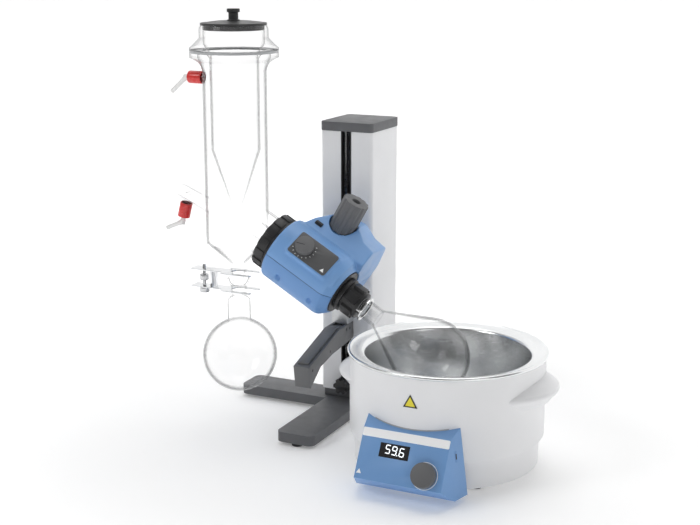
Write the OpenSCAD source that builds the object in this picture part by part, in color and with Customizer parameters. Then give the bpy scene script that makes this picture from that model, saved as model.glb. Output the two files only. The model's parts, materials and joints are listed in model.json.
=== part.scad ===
// Benchtop rotary evaporator: lift stand, tilting drive head, vertical cold-finger
// condenser, two flasks and a heating bath. Millimetres. +Z is up, the operator
// stands on the -Y side, and the origin lies under the middle of the outline.

/* [Stand] */
// Width of the lift column
column_w = 100; // [92:1:112]
// Depth of the lift column
column_d = 116; // [112:1:140]
// Height of the column above its plinth
column_h = 479; // [470:1:620]
// Wall of the column extrusion
column_wall = 4; // [3:0.5:5]
// Radius of the upright corners
column_corner = 8; // [6:0.5:12]
// Width of the slot in the column's front
slot_w = 20; // [18:1:24]
// Thickness of the column cap
cap_t = 16; // [12:1:24]
// Overhang of the cap
cap_over = 1; // [0.5:0.5:4]
// Thickness of the plinth under the column
plinth_t = 14; // [12:1:24]
// Thickness of the foot bars
bar_t = 18; // [14:1:24]
// Width of the long bar
long_bar_w = 71; // [60:1:90]
// Reach of the long bar in front of the column
long_bar_front = 205; // [170:1:240]
// Width of the cross bar
cross_bar_w = 65; // [50:1:80]
// Reach of the cross bar to the left of the column's middle
cross_bar_left = 215; // [180:1:250]
// Reach of the cross bar to the right
cross_bar_right = 60; // [52:1:62]
// Corner radius of the bars
bar_corner = 12; // [6:1:16]
// Height of the rubber feet
foot_h = 6; // [4:0.5:8]
// Radius of the rubber feet
foot_r = 10; // [8:0.5:12]

/* [Lift] */
// Radius of the guide rods
rod_r = 6; // [5:0.5:8]
// Distance of each guide rod from the middle
rod_x = 30; // [26:1:32]
// Depth of the guide rods behind the column's front
rod_y = 62; // [50:1:70]
// Wall of the guide bushes
bush_wall = 4; // [3:0.5:5]
// Length of a guide bush
bush_l = 20; // [14:1:30]
// Height of the carriage block
carriage_h = 140; // [120:1:150]
// Bottom of the carriage block with the lift down
carriage_z = 196; // [190:1:206]
// Radius of the gas spring's cylinder
gas_r = 11; // [9:0.5:14]
// Radius of the gas spring's rod
gas_rod_r = 4; // [3:0.5:5]
// Depth of the gas spring behind the column's front
gas_y = 86; // [80:1:92]
// Running clearance of turning and sliding fits
running = 0.05; // [0.02:0.01:0.1]

/* [Handle] */
// Width of the lift handle
handle_w = 30; // [24:1:36]
// Reach of the handle in front of the column
handle_reach = 176; // [150:1:190]
// Height of the top of the handle at the column
handle_z = 174; // [165:1:178]
// Width of the release lever in the handle
lever_w = 19; // [14:1:22]
// Radius of the lever's pin
lever_pin_r = 3; // [2:0.5:4]

/* [End stop] */
// Height of the end-stop knob
stop_z = 53.4; // [52:0.2:62]
// Radius of the star knob
stop_knob_r = 14.5; // [12:0.5:16]

/* [Drive head] */
// Downward tilt of the drive axis
drive_tilt = 30; // [20:1:40]
// Distance of the drive axis in front of the column
axis_front = 145; // [140:1:150]
// Height of the tilt axis
pivot_z = 304.3; // [302:0.1:310]
// Radius of the head's barrel
barrel_r = 57; // [55:0.5:60]
// Length of the barrel on each side of the tilt axis
barrel_half = 60; // [60:0.5:64]
// Wall of the head's casing
casing_wall = 3; // [2.5:0.5:4]
// Radius of the barrel's nose
nose_r = 42; // [40.5:0.5:46]
// Back of the casing behind the drive axis
casing_back = 115; // [113:0.5:117]
// Radius of the hollow drive shaft
spindle_r = 26; // [24:0.5:28]
// Wall of the hollow drive shaft
spindle_wall = 6; // [4:0.5:8]
// Radial size of a shaft bearing
bearing_ring = 8; // [6:0.5:10]
// Radius of the driven belt pulley
driven_r = 36; // [34:0.5:38]
// Radius of the motor's belt pulley
motor_pulley_r = 10; // [8:0.5:12]
// Thickness of the drive belt
belt_t = 2; // [1.5:0.5:2.5]
// Width of the drive belt
belt_w = 6; // [5:0.5:7]
// Radius of the motor
motor_r = 18; // [14:0.5:20]
// Length of the motor
motor_l = 48; // [40:1:50]
// Motor's place behind the drive axis
motor_back = 90; // [88:0.5:92]
// Motor's place above the tilt axis
motor_up = 48; // [46:0.5:50]
// Radius of the tilt shaft
tilt_shaft_r = 14; // [12:0.5:14.5]

/* [Controls] */
// Length of the head's control panel
panel_l = 77.4; // [70:0.2:82]
// Height of the head's control panel
panel_h = 44.1; // [38:0.1:46]
// Distance of the panel's face from the drive axis
panel_r = 60.2; // [59:0.1:63]
// Elevation of the panel's normal
panel_elev = 47.9; // [44:0.1:52]
// Place of the panel along the drive axis
panel_u = 8; // [4:0.5:12]
// Radius of the speed knob
speed_knob_r = 16; // [13:0.5:17]
// Height of the speed knob
speed_knob_h = 10; // [8:0.5:14]
// Radius of the tilt clamp knob
clamp_knob_r = 23; // [20:0.5:24]
// Length of the tilt clamp knob
clamp_knob_l = 59; // [50:1:65]
// Seat of the tilt clamp knob above the tilt axis
clamp_seat = 65; // [64:0.5:68]
// Length of the lock button
button_l = 14; // [12:0.5:16]
// Width of the lock button
button_w = 9; // [8:0.5:10]

/* [Couplings] */
// Radius of the ribbed union nut
union_r = 50.5; // [49:0.5:53]
// Length of the union nut
union_l = 19; // [17:0.5:21]
// Number of ribs on the union nut
union_ribs = 14; // [10:1:18]
// Radius of the flask hub's grip
hub_grip_r = 28; // [26:0.5:30]
// Length of the flask hub
hub_l = 39; // [36:0.5:42]

/* [Glass] */
// Wall of the glassware
glass_wall = 2; // [1.6:0.1:2.4]
// Radius of the round flasks
flask_r = 65.5; // [62:0.1:68]
// Radius of the vapour duct
duct_r = 14.5; // [13.5:0.1:15]
// Length of the evaporating flask's neck
flask_neck = 32; // [28:1:36]
// Distance from the neck to the middle of the evaporating flask
flask_pear = 108.4; // [100:0.2:110]
// Distance of the condenser's axis to the left of the tilt axis
condenser_x = 138; // [134:0.5:142]
// Radius of the condenser's jacket
jacket_r = 54.5; // [52:0.5:57]
// Bottom of the jacket's straight wall
jacket_z = 335; // [330:1:338]
// Height where the jacket's flange begins
jacket_top = 628; // [620:1:640]
// Radius of the condenser's flanges
flange_r = 75.5; // [73:0.5:79]
// Rise of the jacket's flange
flange_rise = 32; // [28:1:36]
// Thickness of the seal between the flanges
seal_t = 4; // [3:0.5:5]
// Radius of the cold finger
finger_r = 42; // [38:0.5:44]
// Height of the cold finger's tip
finger_tip = 387; // [380:1:400]
// Height of the collar on the cold finger
collar_h = 41; // [36:1:46]
// Radius of the lid
lid_r = 56; // [54:0.5:58]
// Radius of the necks at the ball joint
neck_r = 13.5; // [12:0.5:14]
// Radius of the ball joint
ball_r = 17.5; // [17:0.5:19]
// Height of the ball joint's middle
ball_z = 272; // [270:0.5:274]
// Radius of the hose caps
hose_cap_r = 11; // [10:0.5:13]
// Length of the hose caps
hose_cap_l = 26; // [22:1:30]
// Radius of the hose nozzles
nozzle_r = 4; // [3.5:0.1:5]
// Height of the upper hose port
upper_port_z = 615.5; // [600:0.5:618]

/* [Bath] */
// Distance of the bath's middle to the right of the tilt axis
bath_x = 254.3; // [250:0.5:262]
// Radius of the bath's shell
bath_r = 160; // [157:0.5:162]
// Radius of the bath's base tier
base_tier_r = 152; // [148:0.5:155]
// Height of the bath's rim
bath_z = 196.5; // [190:0.5:198]
// Height of the join between base tier and shell
tier_z = 58; // [50:1:64]
// Wall of the bath's shell
bath_wall = 3; // [2.5:0.5:4]
// Radius of the steel vessel
vessel_r = 137; // [135:0.5:139]
// Height of the vessel's floor
vessel_floor = 80; // [74:1:81]
// Wall of the steel vessel
vessel_wall = 2; // [1.5:0.5:2.5]
// Reach of the lugs from the bath's middle
lug_reach = 191; // [186:1:194]
// Radius of the lugs' round plan
lug_round = 100; // [90:1:110]
// Width of the bath's control panel
face_w = 144.5; // [136:0.5:150]
// Widening of the panel housing's cheeks over 100 mm of depth, each
cheek_flare = 27; // [10:1:32]
// Radius of the bath knob
bath_knob_r = 19.5; // [17:0.5:21]
// Height of the bath's feet
bath_foot_h = 12; // [10:0.5:14]

/* [Hidden] */
$fn = 64;
eps = 0.01;

// Upright stack of the stand
bar_z = foot_h;
plinth_z = bar_z + bar_t;
column_z = plinth_z + plinth_t;
cap_z = column_z + column_h;
rod_sink = 10;
seal_clear = 0.3;
neck_half = slot_w / 2 - 2;
bracket_y = 26;

// Stations along the drive axis, from the tilt axis, positive towards the flask
nose_u = barrel_half + 14;
hub_bay_r = nose_r - 2.5;
collar_u = -(barrel_half + 5);
union_u = collar_u - union_l;
hub_u = nose_u + 2;
mouth_u = hub_u + hub_l + 3;
neck_u = mouth_u + flask_neck;
flask_u = neck_u + flask_pear;
port_r = 37.5;
spigot_r = 44;
port_end = union_u + 8;
belt_u = -36;
front_bearing_u = 50;
rear_bearing_u = -56;
bearing_w = 12;
screw_back = 57;
hub_top = 30;

// Condenser and bath
condenser_cut_z = pivot_z + condenser_x * tan(drive_tilt);
jacket_flange_z = jacket_top + flange_rise;
finger_flange_z = jacket_flange_z + seal_t;
rim_z = finger_flange_z + collar_h;
stopcock_rise = 22.7;
stopcock_z = 398;
branch_s = 52.3;
branch_lean = 15;
flask_z = ball_z - 139.8;
face_lean = 28.8;
face_foot_y = -206;
face_foot_z = 34;
face_l = 81;

// The outline's middle, so that the origin lies under it
hose_reach = 148;
outline_back = column_d + 4;
outline_front = axis_front - face_foot_y + 10;
origin_x = (condenser_x + hose_reach - bath_x - lug_reach) / 2;
origin_y = (outline_front - outline_back) / 2;

// Moves children from the stand's frame (x = 0 in the column's middle, y = 0 at its
// front) to the model's origin.
module on_bench() {
    translate([origin_x, origin_y, 0]) children();
}

// Moves children to the head's frame: x along the drive axis, z square to it.
module on_head() {
    on_bench()
        translate([0, -axis_front, pivot_z])
            rotate([0, drive_tilt, 0])
                children();
}

// Lays children's z along the drive axis, starting at station u.
module along(u) {
    translate([u, 0, 0]) rotate([0, 90, 0]) children();
}

// Moves children to the condenser's upright axis.
module on_condenser() {
    on_bench() translate([-condenser_x, -axis_front, 0]) children();
}

// Moves children to the bath's upright axis.
module on_bath() {
    on_bench() translate([bath_x, -axis_front, 0]) children();
}

// Moves children to the bath's sloping panel: y runs up it and z points out of it.
module on_face() {
    on_bath()
        translate([0, face_foot_y, face_foot_z])
            rotate([90 - face_lean, 0, 0])
                children();
}

// Moves children to the head's panel: x along the drive axis, z out of the panel.
module on_panel() {
    on_head()
        rotate([90 - panel_elev, 0, 0])
            translate([panel_u, 0, panel_r])
                children();
}

// Moves children to the stopcock's tube: z runs outwards from the jacket.
module on_stopcock() {
    on_condenser()
        translate([-50, 0, stopcock_z - 6.3])
            rotate([0, -90 + stopcock_rise, 0])
                children();
}

// Moves children to the branch under the stopcock: z runs down it.
module on_branch() {
    on_condenser()
        translate([-50 - branch_s * cos(stopcock_rise), 0,
                   stopcock_z - 6.3 + branch_s * sin(stopcock_rise)])
            rotate([0, 180 + branch_lean, 0])
                children();
}

// Moves children to the upper hose port: z runs outwards from the jacket.
module on_upper_port() {
    on_condenser()
        translate([-jacket_r, 0, upper_port_z])
            rotate([0, -90, 0])
                children();
}

// Flat plate with round corners, centred on x and y.
module rounded_plate(w, d, t, r) {
    linear_extrude(height = t)
        union() {
            square([w - 2 * r, d], center = true);
            square([w, d - 2 * r], center = true);
            for (sx = [-1, 1], sy = [-1, 1])
                translate([sx * (w / 2 - r), sy * (d / 2 - r)]) circle(r = r);
        }
}

// Ring or sleeve on z.
module sleeve(r_out, r_in, h) {
    difference() {
        cylinder(r = r_out, h = h);
        translate([0, 0, -1]) cylinder(r = r_in, h = h + 2);
    }
}

// Points of an arc about c, from angle a0 to a1.
function arc(c, r, a0, a1, n = 12) =
    [for (i = [0:n]) c + r * [cos(a0 + (a1 - a0) * i / n), sin(a0 + (a1 - a0) * i / n)]];

// Outward normal of an edge of an outline that runs anticlockwise.
function edge_normal(a, b) = let (d = b - a) [d[1], -d[0]] / norm(d);

// Corner of an outline moved inwards by t.
function inset_corner(a, b, c, t) =
    let (m = edge_normal(a, b), n = edge_normal(b, c)) b - t * (m + n) / (1 + m * n);

// Outline moved inwards by t.
function inset(pts, t) =
    let (n = len(pts))
        [for (i = [0:n - 1]) inset_corner(pts[(i + n - 1) % n], pts[i], pts[(i + 1) % n], t)];

// ---- Stand ----

module base_frame() {
    color("dimgray") on_bench()
        difference() {
            union() {
                translate([0, (column_d + 4 - long_bar_front) / 2, bar_z])
                    rounded_plate(long_bar_w, long_bar_front + column_d + 4, bar_t, bar_corner);
                translate([(cross_bar_right - cross_bar_left) / 2, 18.5, bar_z])
                    rounded_plate(cross_bar_right + cross_bar_left, cross_bar_w, bar_t,
                                  bar_corner);
            }
            for (p = foot_places())
                translate([p[0], p[1], bar_z - 1]) cylinder(r = 3, h = 9);
        }
}

// Places of the stand's feet.
function foot_places() = [
    [0, 13 - long_bar_front], [18 - cross_bar_left, 18],
    [cross_bar_right - 15, 18], [0, column_d - 10]
];

module base_feet() {
    color("black") on_bench()
        for (p = foot_places())
            translate([p[0], p[1], 0]) {
                cylinder(r = foot_r, h = foot_h);
                translate([0, 0, foot_h - 1]) cylinder(r = 3 - running, h = 8);
            }
}

module column_plinth() {
    color("dimgray") on_bench()
        difference() {
            translate([0, column_d / 2, plinth_z])
                rounded_plate(column_w - 4, column_d - 4, plinth_t, column_corner);
            for (s = [-1, 1])
                translate([s * rod_x, rod_y, column_z - rod_sink])
                    cylinder(r = rod_r + running, h = rod_sink + 1);
        }
}

module lift_column() {
    color("whitesmoke") on_bench()
        translate([0, 0, column_z])
            difference() {
                translate([0, column_d / 2, 0])
                    rounded_plate(column_w, column_d, column_h, column_corner);
                translate([-column_w / 2 + column_wall, column_wall, -1])
                    cube([column_w - 2 * column_wall, column_d - 2 * column_wall,
                          column_h + 2]);
                translate([-slot_w / 2, -1, -1])
                    cube([slot_w, column_wall + 2, column_h + 2]);
                translate([-14, column_d - column_wall - 1, 24])
                    cube([28, column_wall + 2, 22]);
            }
}

module column_cap() {
    color("dimgray") on_bench()
        difference() {
            translate([0, column_d / 2, cap_z])
                rounded_plate(column_w + 2 * cap_over, column_d + 2 * cap_over, cap_t,
                              column_corner + cap_over);
            for (s = [-1, 1])
                translate([s * rod_x, rod_y, cap_z - 1])
                    cylinder(r = rod_r + running, h = cap_t / 2 + 1);
        }
}

module guide_rods() {
    color("silver") on_bench()
        for (s = [-1, 1])
            translate([s * rod_x, rod_y, column_z - rod_sink])
                cylinder(r = rod_r, h = column_h + rod_sink + cap_t / 2);
}

module gas_spring_cylinder() {
    color("black") on_bench()
        translate([0, gas_y, column_z])
            difference() {
                cylinder(r = gas_r, h = carriage_z - column_z - 6);
                translate([0, 0, 4])
                    cylinder(r = gas_r - 2, h = carriage_z - column_z - 16);
                cylinder(r = gas_rod_r + running, h = carriage_z);
            }
}

module slot_seals() {
    color("black") on_bench()
        for (s = [-1, 1])
            translate([s * (slot_w + neck_half * 2 + 2 * seal_clear) / 4 -
                           (slot_w / 2 - neck_half - seal_clear) / 2,
                       0.6, column_z])
                cube([slot_w / 2 - neck_half - seal_clear, column_wall + 6, column_h]);
}

module power_inlet() {
    color("black") on_bench()
        translate([0, column_d, column_z + 35])
            difference() {
                union() {
                    translate([-14, -16, -11]) cube([28, 16, 22]);
                    translate([-17, 0, -14]) cube([34, 3, 28]);
                }
                translate([-11.5, -13, -8]) cube([23, 20, 16]);
            }
}

module end_stop_block() {
    color("dimgray") on_bench()
        difference() {
            union() {
                translate([-neck_half, -4, stop_z - 12]) cube([2 * neck_half, 15, 24]);
                translate([-neck_half - 7, 11, stop_z - 12])
                    cube([2 * neck_half + 14, 6, 24]);
            }
            translate([0, -5, stop_z]) rotate([-90, 0, 0]) cylinder(r = 4 + running, h = 30);
        }
}

module end_stop_knob() {
    color("black") on_bench()
        translate([0, -4.5, stop_z])
            rotate([90, 0, 0]) {
                difference() {
                    cylinder(r = stop_knob_r, h = 20);
                    for (a = [0:60:359])
                        rotate(a + 30)
                            translate([stop_knob_r + 1, 0, -1]) cylinder(r = 4.5, h = 22);
                }
                translate([0, 0, -18]) cylinder(r = 4, h = 19);
            }
}

// ---- Lift carriage and handle ----

module carriage_block() {
    color("dimgray") on_bench()
        difference() {
            union() {
                translate([-42, 18, carriage_z]) cube([84, 86, carriage_h]);
                translate([-neck_half, -4, carriage_z - 16])
                    cube([2 * neck_half, 24, carriage_h + 8]);
                translate([-handle_w / 2, -bracket_y, handle_z])
                    cube([handle_w, bracket_y - 3, pivot_z - handle_z]);
                translate([0, -bracket_y, pivot_z])
                    rotate([-90, 0, 0]) cylinder(r = tilt_shaft_r + 6, h = bracket_y - 3);
            }
            for (s = [-1, 1])
                translate([s * rod_x, rod_y, carriage_z - 1])
                    cylinder(r = rod_r + running + bush_wall, h = carriage_h + 2);
            translate([0, -bracket_y - 1, pivot_z])
                rotate([-90, 0, 0]) cylinder(r = tilt_shaft_r, h = bracket_y - 6);
            for (y = [-20, -9])
                translate([0, y, handle_z - 1]) cylinder(r = 2.5, h = 13);
        }
}

module guide_bushes() {
    color("goldenrod") on_bench()
        for (s = [-1, 1], z = [carriage_z, carriage_z + carriage_h - bush_l])
            translate([s * rod_x, rod_y, z])
                sleeve(rod_r + running + bush_wall, rod_r + running, bush_l);
}

module gas_spring_rod() {
    color("silver") on_bench()
        translate([0, gas_y, column_z + 10]) {
            cylinder(r = gas_rod_r, h = carriage_z - column_z - 10);
            cylinder(r = gas_r - 2 - running, h = 6);
        }
}

module tilt_shaft() {
    color("silver") on_bench()
        translate([0, -axis_front + 48, pivot_z])
            rotate([-90, 0, 0]) cylinder(r = tilt_shaft_r, h = axis_front - 48 - 7);
}

// Side outline of the handle: y runs away from the column, z up.
function handle_outline() = [
    [-1, handle_z - 31], [-1, handle_z], [-58, handle_z - 2],
    [-handle_reach, handle_z - 38.5], [-handle_reach + 6, handle_z - 77],
    [-132, handle_z - 49], [-84, handle_z - 39], [-50, handle_z - 36]
];

// Side outline of the lever, with its pin's middle at the origin.
function lever_outline(reach) = [
    [6, -6], [6, 5], [-30, 9.4], [-reach + 39, -23.7], [-reach + 39, -37],
    [-102, -26], [-54, -12]
];

// Side outline of the lever's slot in the handle, from the same origin.
function slot_outline(reach) = [
    [9, -14], [9, 12], [-40, 30], [-reach + 37, 20], [-reach + 37, -58],
    [-102, -36.5], [-54, -26.5]
];

// Lays an outline in the y-z plane, w wide, about x = 0.
module side_extrude(pts, w) {
    translate([-w / 2, 0, 0])
        rotate([90, 0, 90]) linear_extrude(height = w) polygon(pts);
}

lever_y = -30;
lever_z = handle_z - 9;

module handle_body() {
    color("dimgray") on_bench()
        difference() {
            side_extrude(handle_outline(), handle_w);
            translate([0, lever_y, lever_z])
                side_extrude(slot_outline(handle_reach), lever_w + 2);
            translate([-handle_w, lever_y, lever_z])
                rotate([0, 90, 0])
                    cylinder(r = lever_pin_r + running, h = 2 * handle_w);
            for (y = [-20, -9])
                translate([0, y, handle_z - 12]) cylinder(r = 2.5, h = 13);
        }
}

module handle_screws() {
    color("silver") on_bench()
        for (y = [-20, -9])
            translate([0, y, handle_z - 12]) cylinder(r = 2.5, h = 24);
}

module release_lever() {
    color("gray") on_bench()
        translate([0, lever_y, lever_z]) {
            side_extrude(lever_outline(handle_reach), lever_w);
            translate([-handle_w / 2 + 1, 0, 0])
                rotate([0, 90, 0]) cylinder(r = lever_pin_r, h = handle_w - 2);
        }
}

// ---- Drive head ----

// Outline of the casing behind the barrel: x along the drive axis, y up.
function casing_outline() = [
    [-45, -45], [70, -45], [85, -28], [84, 86], [55, 89], [31, 97],
    [-25, 85], [-44, 67], [-barrel_half + 1, 39], [-barrel_half + 1, -30]
];

// Solid of the casing's back part, grown or shrunk by t inside its outline.
module casing_back_solid(t) {
    difference() {
        translate([0, casing_back - t, 0])
            rotate([90, 0, 0])
                linear_extrude(height = casing_back - 15 - 2 * t)
                    polygon(inset(casing_outline(), t));
        translate([-200, 20, barrel_r - t])
            rotate([36, 0, 0])
                translate([0, -100, 0]) cube([400, 200, 200]);
    }
}

// Outside or inside of the barrel, shrunk by t. Its nose keeps a double wall, which
// carries the front flange.
module barrel_solid(t) {
    rotate([0, 90, 0])
        rotate_extrude()
            polygon([[0, -barrel_half + t], [barrel_r - t, -barrel_half + t],
                     [barrel_r - t, barrel_half - t / 2], [nose_r - t, nose_u - 2 * t],
                     [0, nose_u - 2 * t]]);
}

// Casing with its webs and bosses, before it is parted at the drive axis.
module casing() {
    difference() {
        union() {
            barrel_solid(0);
            casing_back_solid(0);
            rotate([90 - panel_elev, 0, 0])
                translate([panel_u, 0, panel_r - 14])
                    rounded_plate(panel_l + 6, panel_h + 6, 12.3, 6);
        }
        union() {
            barrel_solid(casing_wall);
            difference() {
                casing_back_solid(casing_wall);
                along(nose_u - 2 * casing_wall) cylinder(r = hub_bay_r + casing_wall, h = 40);
            }
        }
        along(-barrel_half - 1) cylinder(r = spindle_r + 4, h = 10);
        along(barrel_half) cylinder(r = spindle_r + 2, h = 30);
        along(nose_u - casing_wall) cylinder(r = hub_bay_r, h = 30);
        translate([0, casing_back - 10, 0])
            rotate([-90, 0, 0]) cylinder(r = tilt_shaft_r + 2, h = 20);
        translate([0, screw_back, clamp_seat])
            cylinder(r = clamp_knob_r + 4, h = 60);
        rotate([90 - panel_elev, 0, 0])
            translate([panel_u - 18, 0, panel_r - 14]) cylinder(r = 4, h = 20);
    }
    for (u = [front_bearing_u, rear_bearing_u])
        along(u + 2) sleeve(barrel_r - casing_wall, spindle_r + bearing_ring, bearing_w - 4);
    translate([0, screw_back, clamp_seat - casing_wall])
        sleeve(clamp_knob_r + 4, 10, casing_wall);
    for (u = case_screws())
        translate([u, -47, -26]) cylinder(r = 5, h = 52);
    rotate([90 - panel_elev, 0, 0])
        for (x = [-27, 27], y = [-12, 12])
            translate([panel_u + x, y, board_z + 1.6]) cylinder(r = 2.5, h = 10);
    translate([26, 45, 0])
        intersection() {
            cube([4, casing_back - 45 - casing_wall, motor_up + motor_r]);
            translate([0, motor_back - 45, 0]) along(-1)
                translate([-motor_up, 0, 0]) sleeve(80, 7, 8);
        }
}

board_z = panel_r - 16;

// Places of the casing's screws along the drive axis.
function case_screws() = [-23, 40];

module housing_upper() {
    color("cornflowerblue") on_head()
        difference() {
            casing();
            translate([-200, -200, -200]) cube([400, 400, 200]);
            translate([-30 - button_l / 2 - 0.3, 29.5 - button_w / 2 - 0.3, 30])
                cube([button_l + 0.6, button_w + 0.6, 60]);
            for (u = case_screws())
                translate([u, -47, -1]) cylinder(r = 2, h = 17);
        }
}

module housing_lower() {
    color("steelblue") on_head()
        difference() {
            casing();
            translate([-200, -200, 0]) cube([400, 400, 200]);
            for (u = case_screws())
                translate([u, -47, -60]) {
                    cylinder(r = 4, h = 48);
                    cylinder(r = 2, h = 70);
                }
        }
}

module housing_screws() {
    color("silver") on_head()
        for (u = case_screws())
            translate([u, -47, -16]) {
                cylinder(r = 3.6, h = 4);
                cylinder(r = 2, h = 30);
            }
}

module tilt_hub() {
    color("silver") on_head()
        difference() {
            translate([-20, 45, -20])
                cube([40, casing_back - casing_wall - 45, hub_top + 20]);
            translate([0, 44, 0])
                rotate([-90, 0, 0]) cylinder(r = tilt_shaft_r + running, h = casing_back);
            translate([0, screw_back, 0]) cylinder(r = 4 + running, h = 60);
        }
}

module panel_plate() {
    color("dimgray") on_panel()
        difference() {
            translate([0, 0, -1.7]) rounded_plate(panel_l, panel_h, 1.7, 4);
            translate([-18, 0, -3]) cylinder(r = 4, h = 5);
        }
}

module control_board() {
    color("darkgreen") on_panel() {
        translate([-31, -15, board_z - panel_r]) cube([62, 30, 1.6]);
        translate([-18, 0, board_z - panel_r + 1.6]) sleeve(8, 3 + running, 6);
    }
}

module drive_motor() {
    color("silver") on_head()
        translate([0, motor_back, motor_up])
            along(30)
                difference() {
                    union() {
                        cylinder(r = motor_r, h = motor_l);
                        translate([0, 0, -3]) cylinder(r = 6.5, h = 4);
                    }
                    translate([0, 0, -4]) cylinder(r = 3 + running, h = 14);
                }
}

module motor_pulley() {
    color("silver") on_head()
        translate([0, motor_back, motor_up]) {
            along(belt_u - 1) cylinder(r = motor_pulley_r, h = belt_w + 2);
            along(belt_u) cylinder(r = 3, h = 34 - belt_u);
        }
}

// Outline of a belt path round both pulleys, t outside them.
module belt_outline(t) {
    span = norm([motor_back, motor_up]);
    lean = acos((driven_r - motor_pulley_r) / span);
    rotate(180 - atan2(motor_back, motor_up))
        polygon(concat(
            arc([0, 0], driven_r + 2 * running + t, lean, 360 - lean, 48),
            arc([span, 0], motor_pulley_r + 2 * running + t, -lean, lean, 24)
        ));
}

module drive_belt() {
    color("black") on_head()
        along(belt_u)
            difference() {
                linear_extrude(height = belt_w) belt_outline(belt_t);
                translate([0, 0, -1]) linear_extrude(height = belt_w + 2) belt_outline(0);
            }
}

module driven_pulley() {
    color("silver") on_head()
        along(belt_u - 1) sleeve(driven_r, spindle_r, belt_w + 2);
}

module shaft_bearings() {
    color("silver") on_head()
        for (u = [front_bearing_u, rear_bearing_u])
            along(u) sleeve(spindle_r + bearing_ring, spindle_r + running, bearing_w);
}

module front_flange() {
    color("black") on_head()
        along(nose_u - casing_wall) sleeve(hub_bay_r, spindle_r + 1, 4);
}

module rear_collar() {
    color("black") on_head()
        difference() {
            union() {
                along(collar_u) cylinder(r = union_r - 1, h = 5);
                along(port_end + 1) cylinder(r = spigot_r, h = collar_u - port_end);
            }
            along(union_u) cylinder(r = spigot_r - 9, h = 40);
        }
}

module condenser_seal() {
    color("white") on_head()
        along(port_end + 1) sleeve(spigot_r - 9, duct_r + 0.35, 8);
}

module hollow_shaft() {
    color("silver") on_head()
        along(rear_bearing_u - 1)
            sleeve(spindle_r, spindle_r - spindle_wall, hub_u - rear_bearing_u + 1);
}

module flask_hub() {
    color("black") on_head()
        difference() {
            union() {
                along(hub_u) cylinder(r = spindle_r + 4, h = 8);
                along(hub_u + 7) cylinder(r = hub_grip_r - 4, h = hub_l - 7);
                for (a = [0:60:359])
                    rotate([a, 0, 0])
                        translate([hub_u + 12, -8, 0])
                            cube([hub_l - 18, 16, hub_grip_r]);
            }
            along(hub_u - 1) cylinder(r = duct_r + 0.5, h = hub_l + 2);
            along(hub_u - 1) cylinder(r = hub_grip_r - 8, h = hub_l - 5);
        }
}

module vapor_duct() {
    color("lightcyan") on_head()
        along(union_u - 30)
            difference() {
                union() {
                    cylinder(r = duct_r, h = neck_u - union_u + 30);
                    translate([0, 0, hub_u + hub_l - union_u + 24])
                        cylinder(r = duct_r + 0.5, h = 6);
                }
                translate([0, 0, -1]) cylinder(r = duct_r - glass_wall, h = 400);
            }
}

module flask_clip() {
    color("silver") on_head() {
        along(mouth_u + 4.3) sleeve(duct_r + 7, duct_r + glass_wall + 0.2, 2);
        for (s = [-1, 1])
            translate([0, s * (duct_r + 6.8), 0])
                along(hub_u + hub_l) cylinder(r = 1.5, h = mouth_u + 5.3 - hub_u - hub_l);
    }
}

// Half outline of the evaporating flask's solid, grown inwards by t; y runs along
// the neck towards the flask.
function pear_outline(t, neck) =
    let (back = flask_u - neck_u, rise = duct_r + glass_wall,
         tilt = atan2(rise, -back) - acos(flask_r / norm([back, rise])),
         c = [0, flask_u])
        concat(
            [[0, mouth_u - (t > 0 ? 1 : 0)], [neck, mouth_u - (t > 0 ? 1 : 0)], [neck, neck_u]],
            arc(c, flask_r - t, 90 - tilt + 360, 90 + 360, 16)
        );

module evaporating_flask() {
    color("lightcyan") on_head()
        rotate([0, 90, 0])
            difference() {
                union() {
                    rotate_extrude() polygon(pear_outline(0, duct_r + glass_wall));
                    translate([0, 0, mouth_u]) cylinder(r = duct_r + 5, h = 4);
                }
                rotate_extrude() polygon(pear_outline(glass_wall, duct_r + running));
            }
}

module union_nut() {
    color("black") on_head()
        difference() {
            along(union_u)
                linear_extrude(height = union_l - 0.3)
                    union() {
                        circle(r = union_r - 2);
                        for (i = [0:union_ribs - 1])
                            rotate(i * 360 / union_ribs)
                                translate([union_r - 4, -7]) square([3.6, 14]);
                    }
            along(union_u - 1) cylinder(r = port_r + 0.5, h = 40);
            along(union_u + 3) cylinder(r = spigot_r + running, h = 40);
        }
}

module speed_knob() {
    color("gray") on_panel()
        translate([-18, 0, 0.4]) {
            cylinder(r = speed_knob_r, h = speed_knob_h);
            translate([0, 0, -13]) cylinder(r = 3, h = 14);
        }
}

module tilt_clamp_knob() {
    color("dimgray") on_head()
        translate([0, screw_back, clamp_seat + 1]) {
            difference() {
                cylinder(r = clamp_knob_r, h = clamp_knob_l);
                for (a = [0:30:359])
                    rotate(a)
                        translate([clamp_knob_r + 3, 0, -1])
                            cylinder(r = 4.5, h = clamp_knob_l + 2);
                translate([0, 0, clamp_knob_l - 6]) cylinder(r = 8, h = 7);
            }
            translate([0, 0, -6]) cylinder(r = 9, h = 7);
            translate([0, 0, tilt_shaft_r + 0.4 - clamp_seat - 1])
                cylinder(r = 4, h = clamp_seat - tilt_shaft_r);
        }
}

module lock_button() {
    color("black") on_head()
        translate([-30, 29.5, 0]) {
            translate([-button_l / 2, -button_w / 2, 52])
                cube([button_l, button_w, 14]);
            translate([-button_l / 2 - 2, -button_w / 2 - 2, 51.5])
                cube([button_l + 4, button_w + 4, 2]);
        }
}

// ---- Condenser and receiver ----

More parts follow.
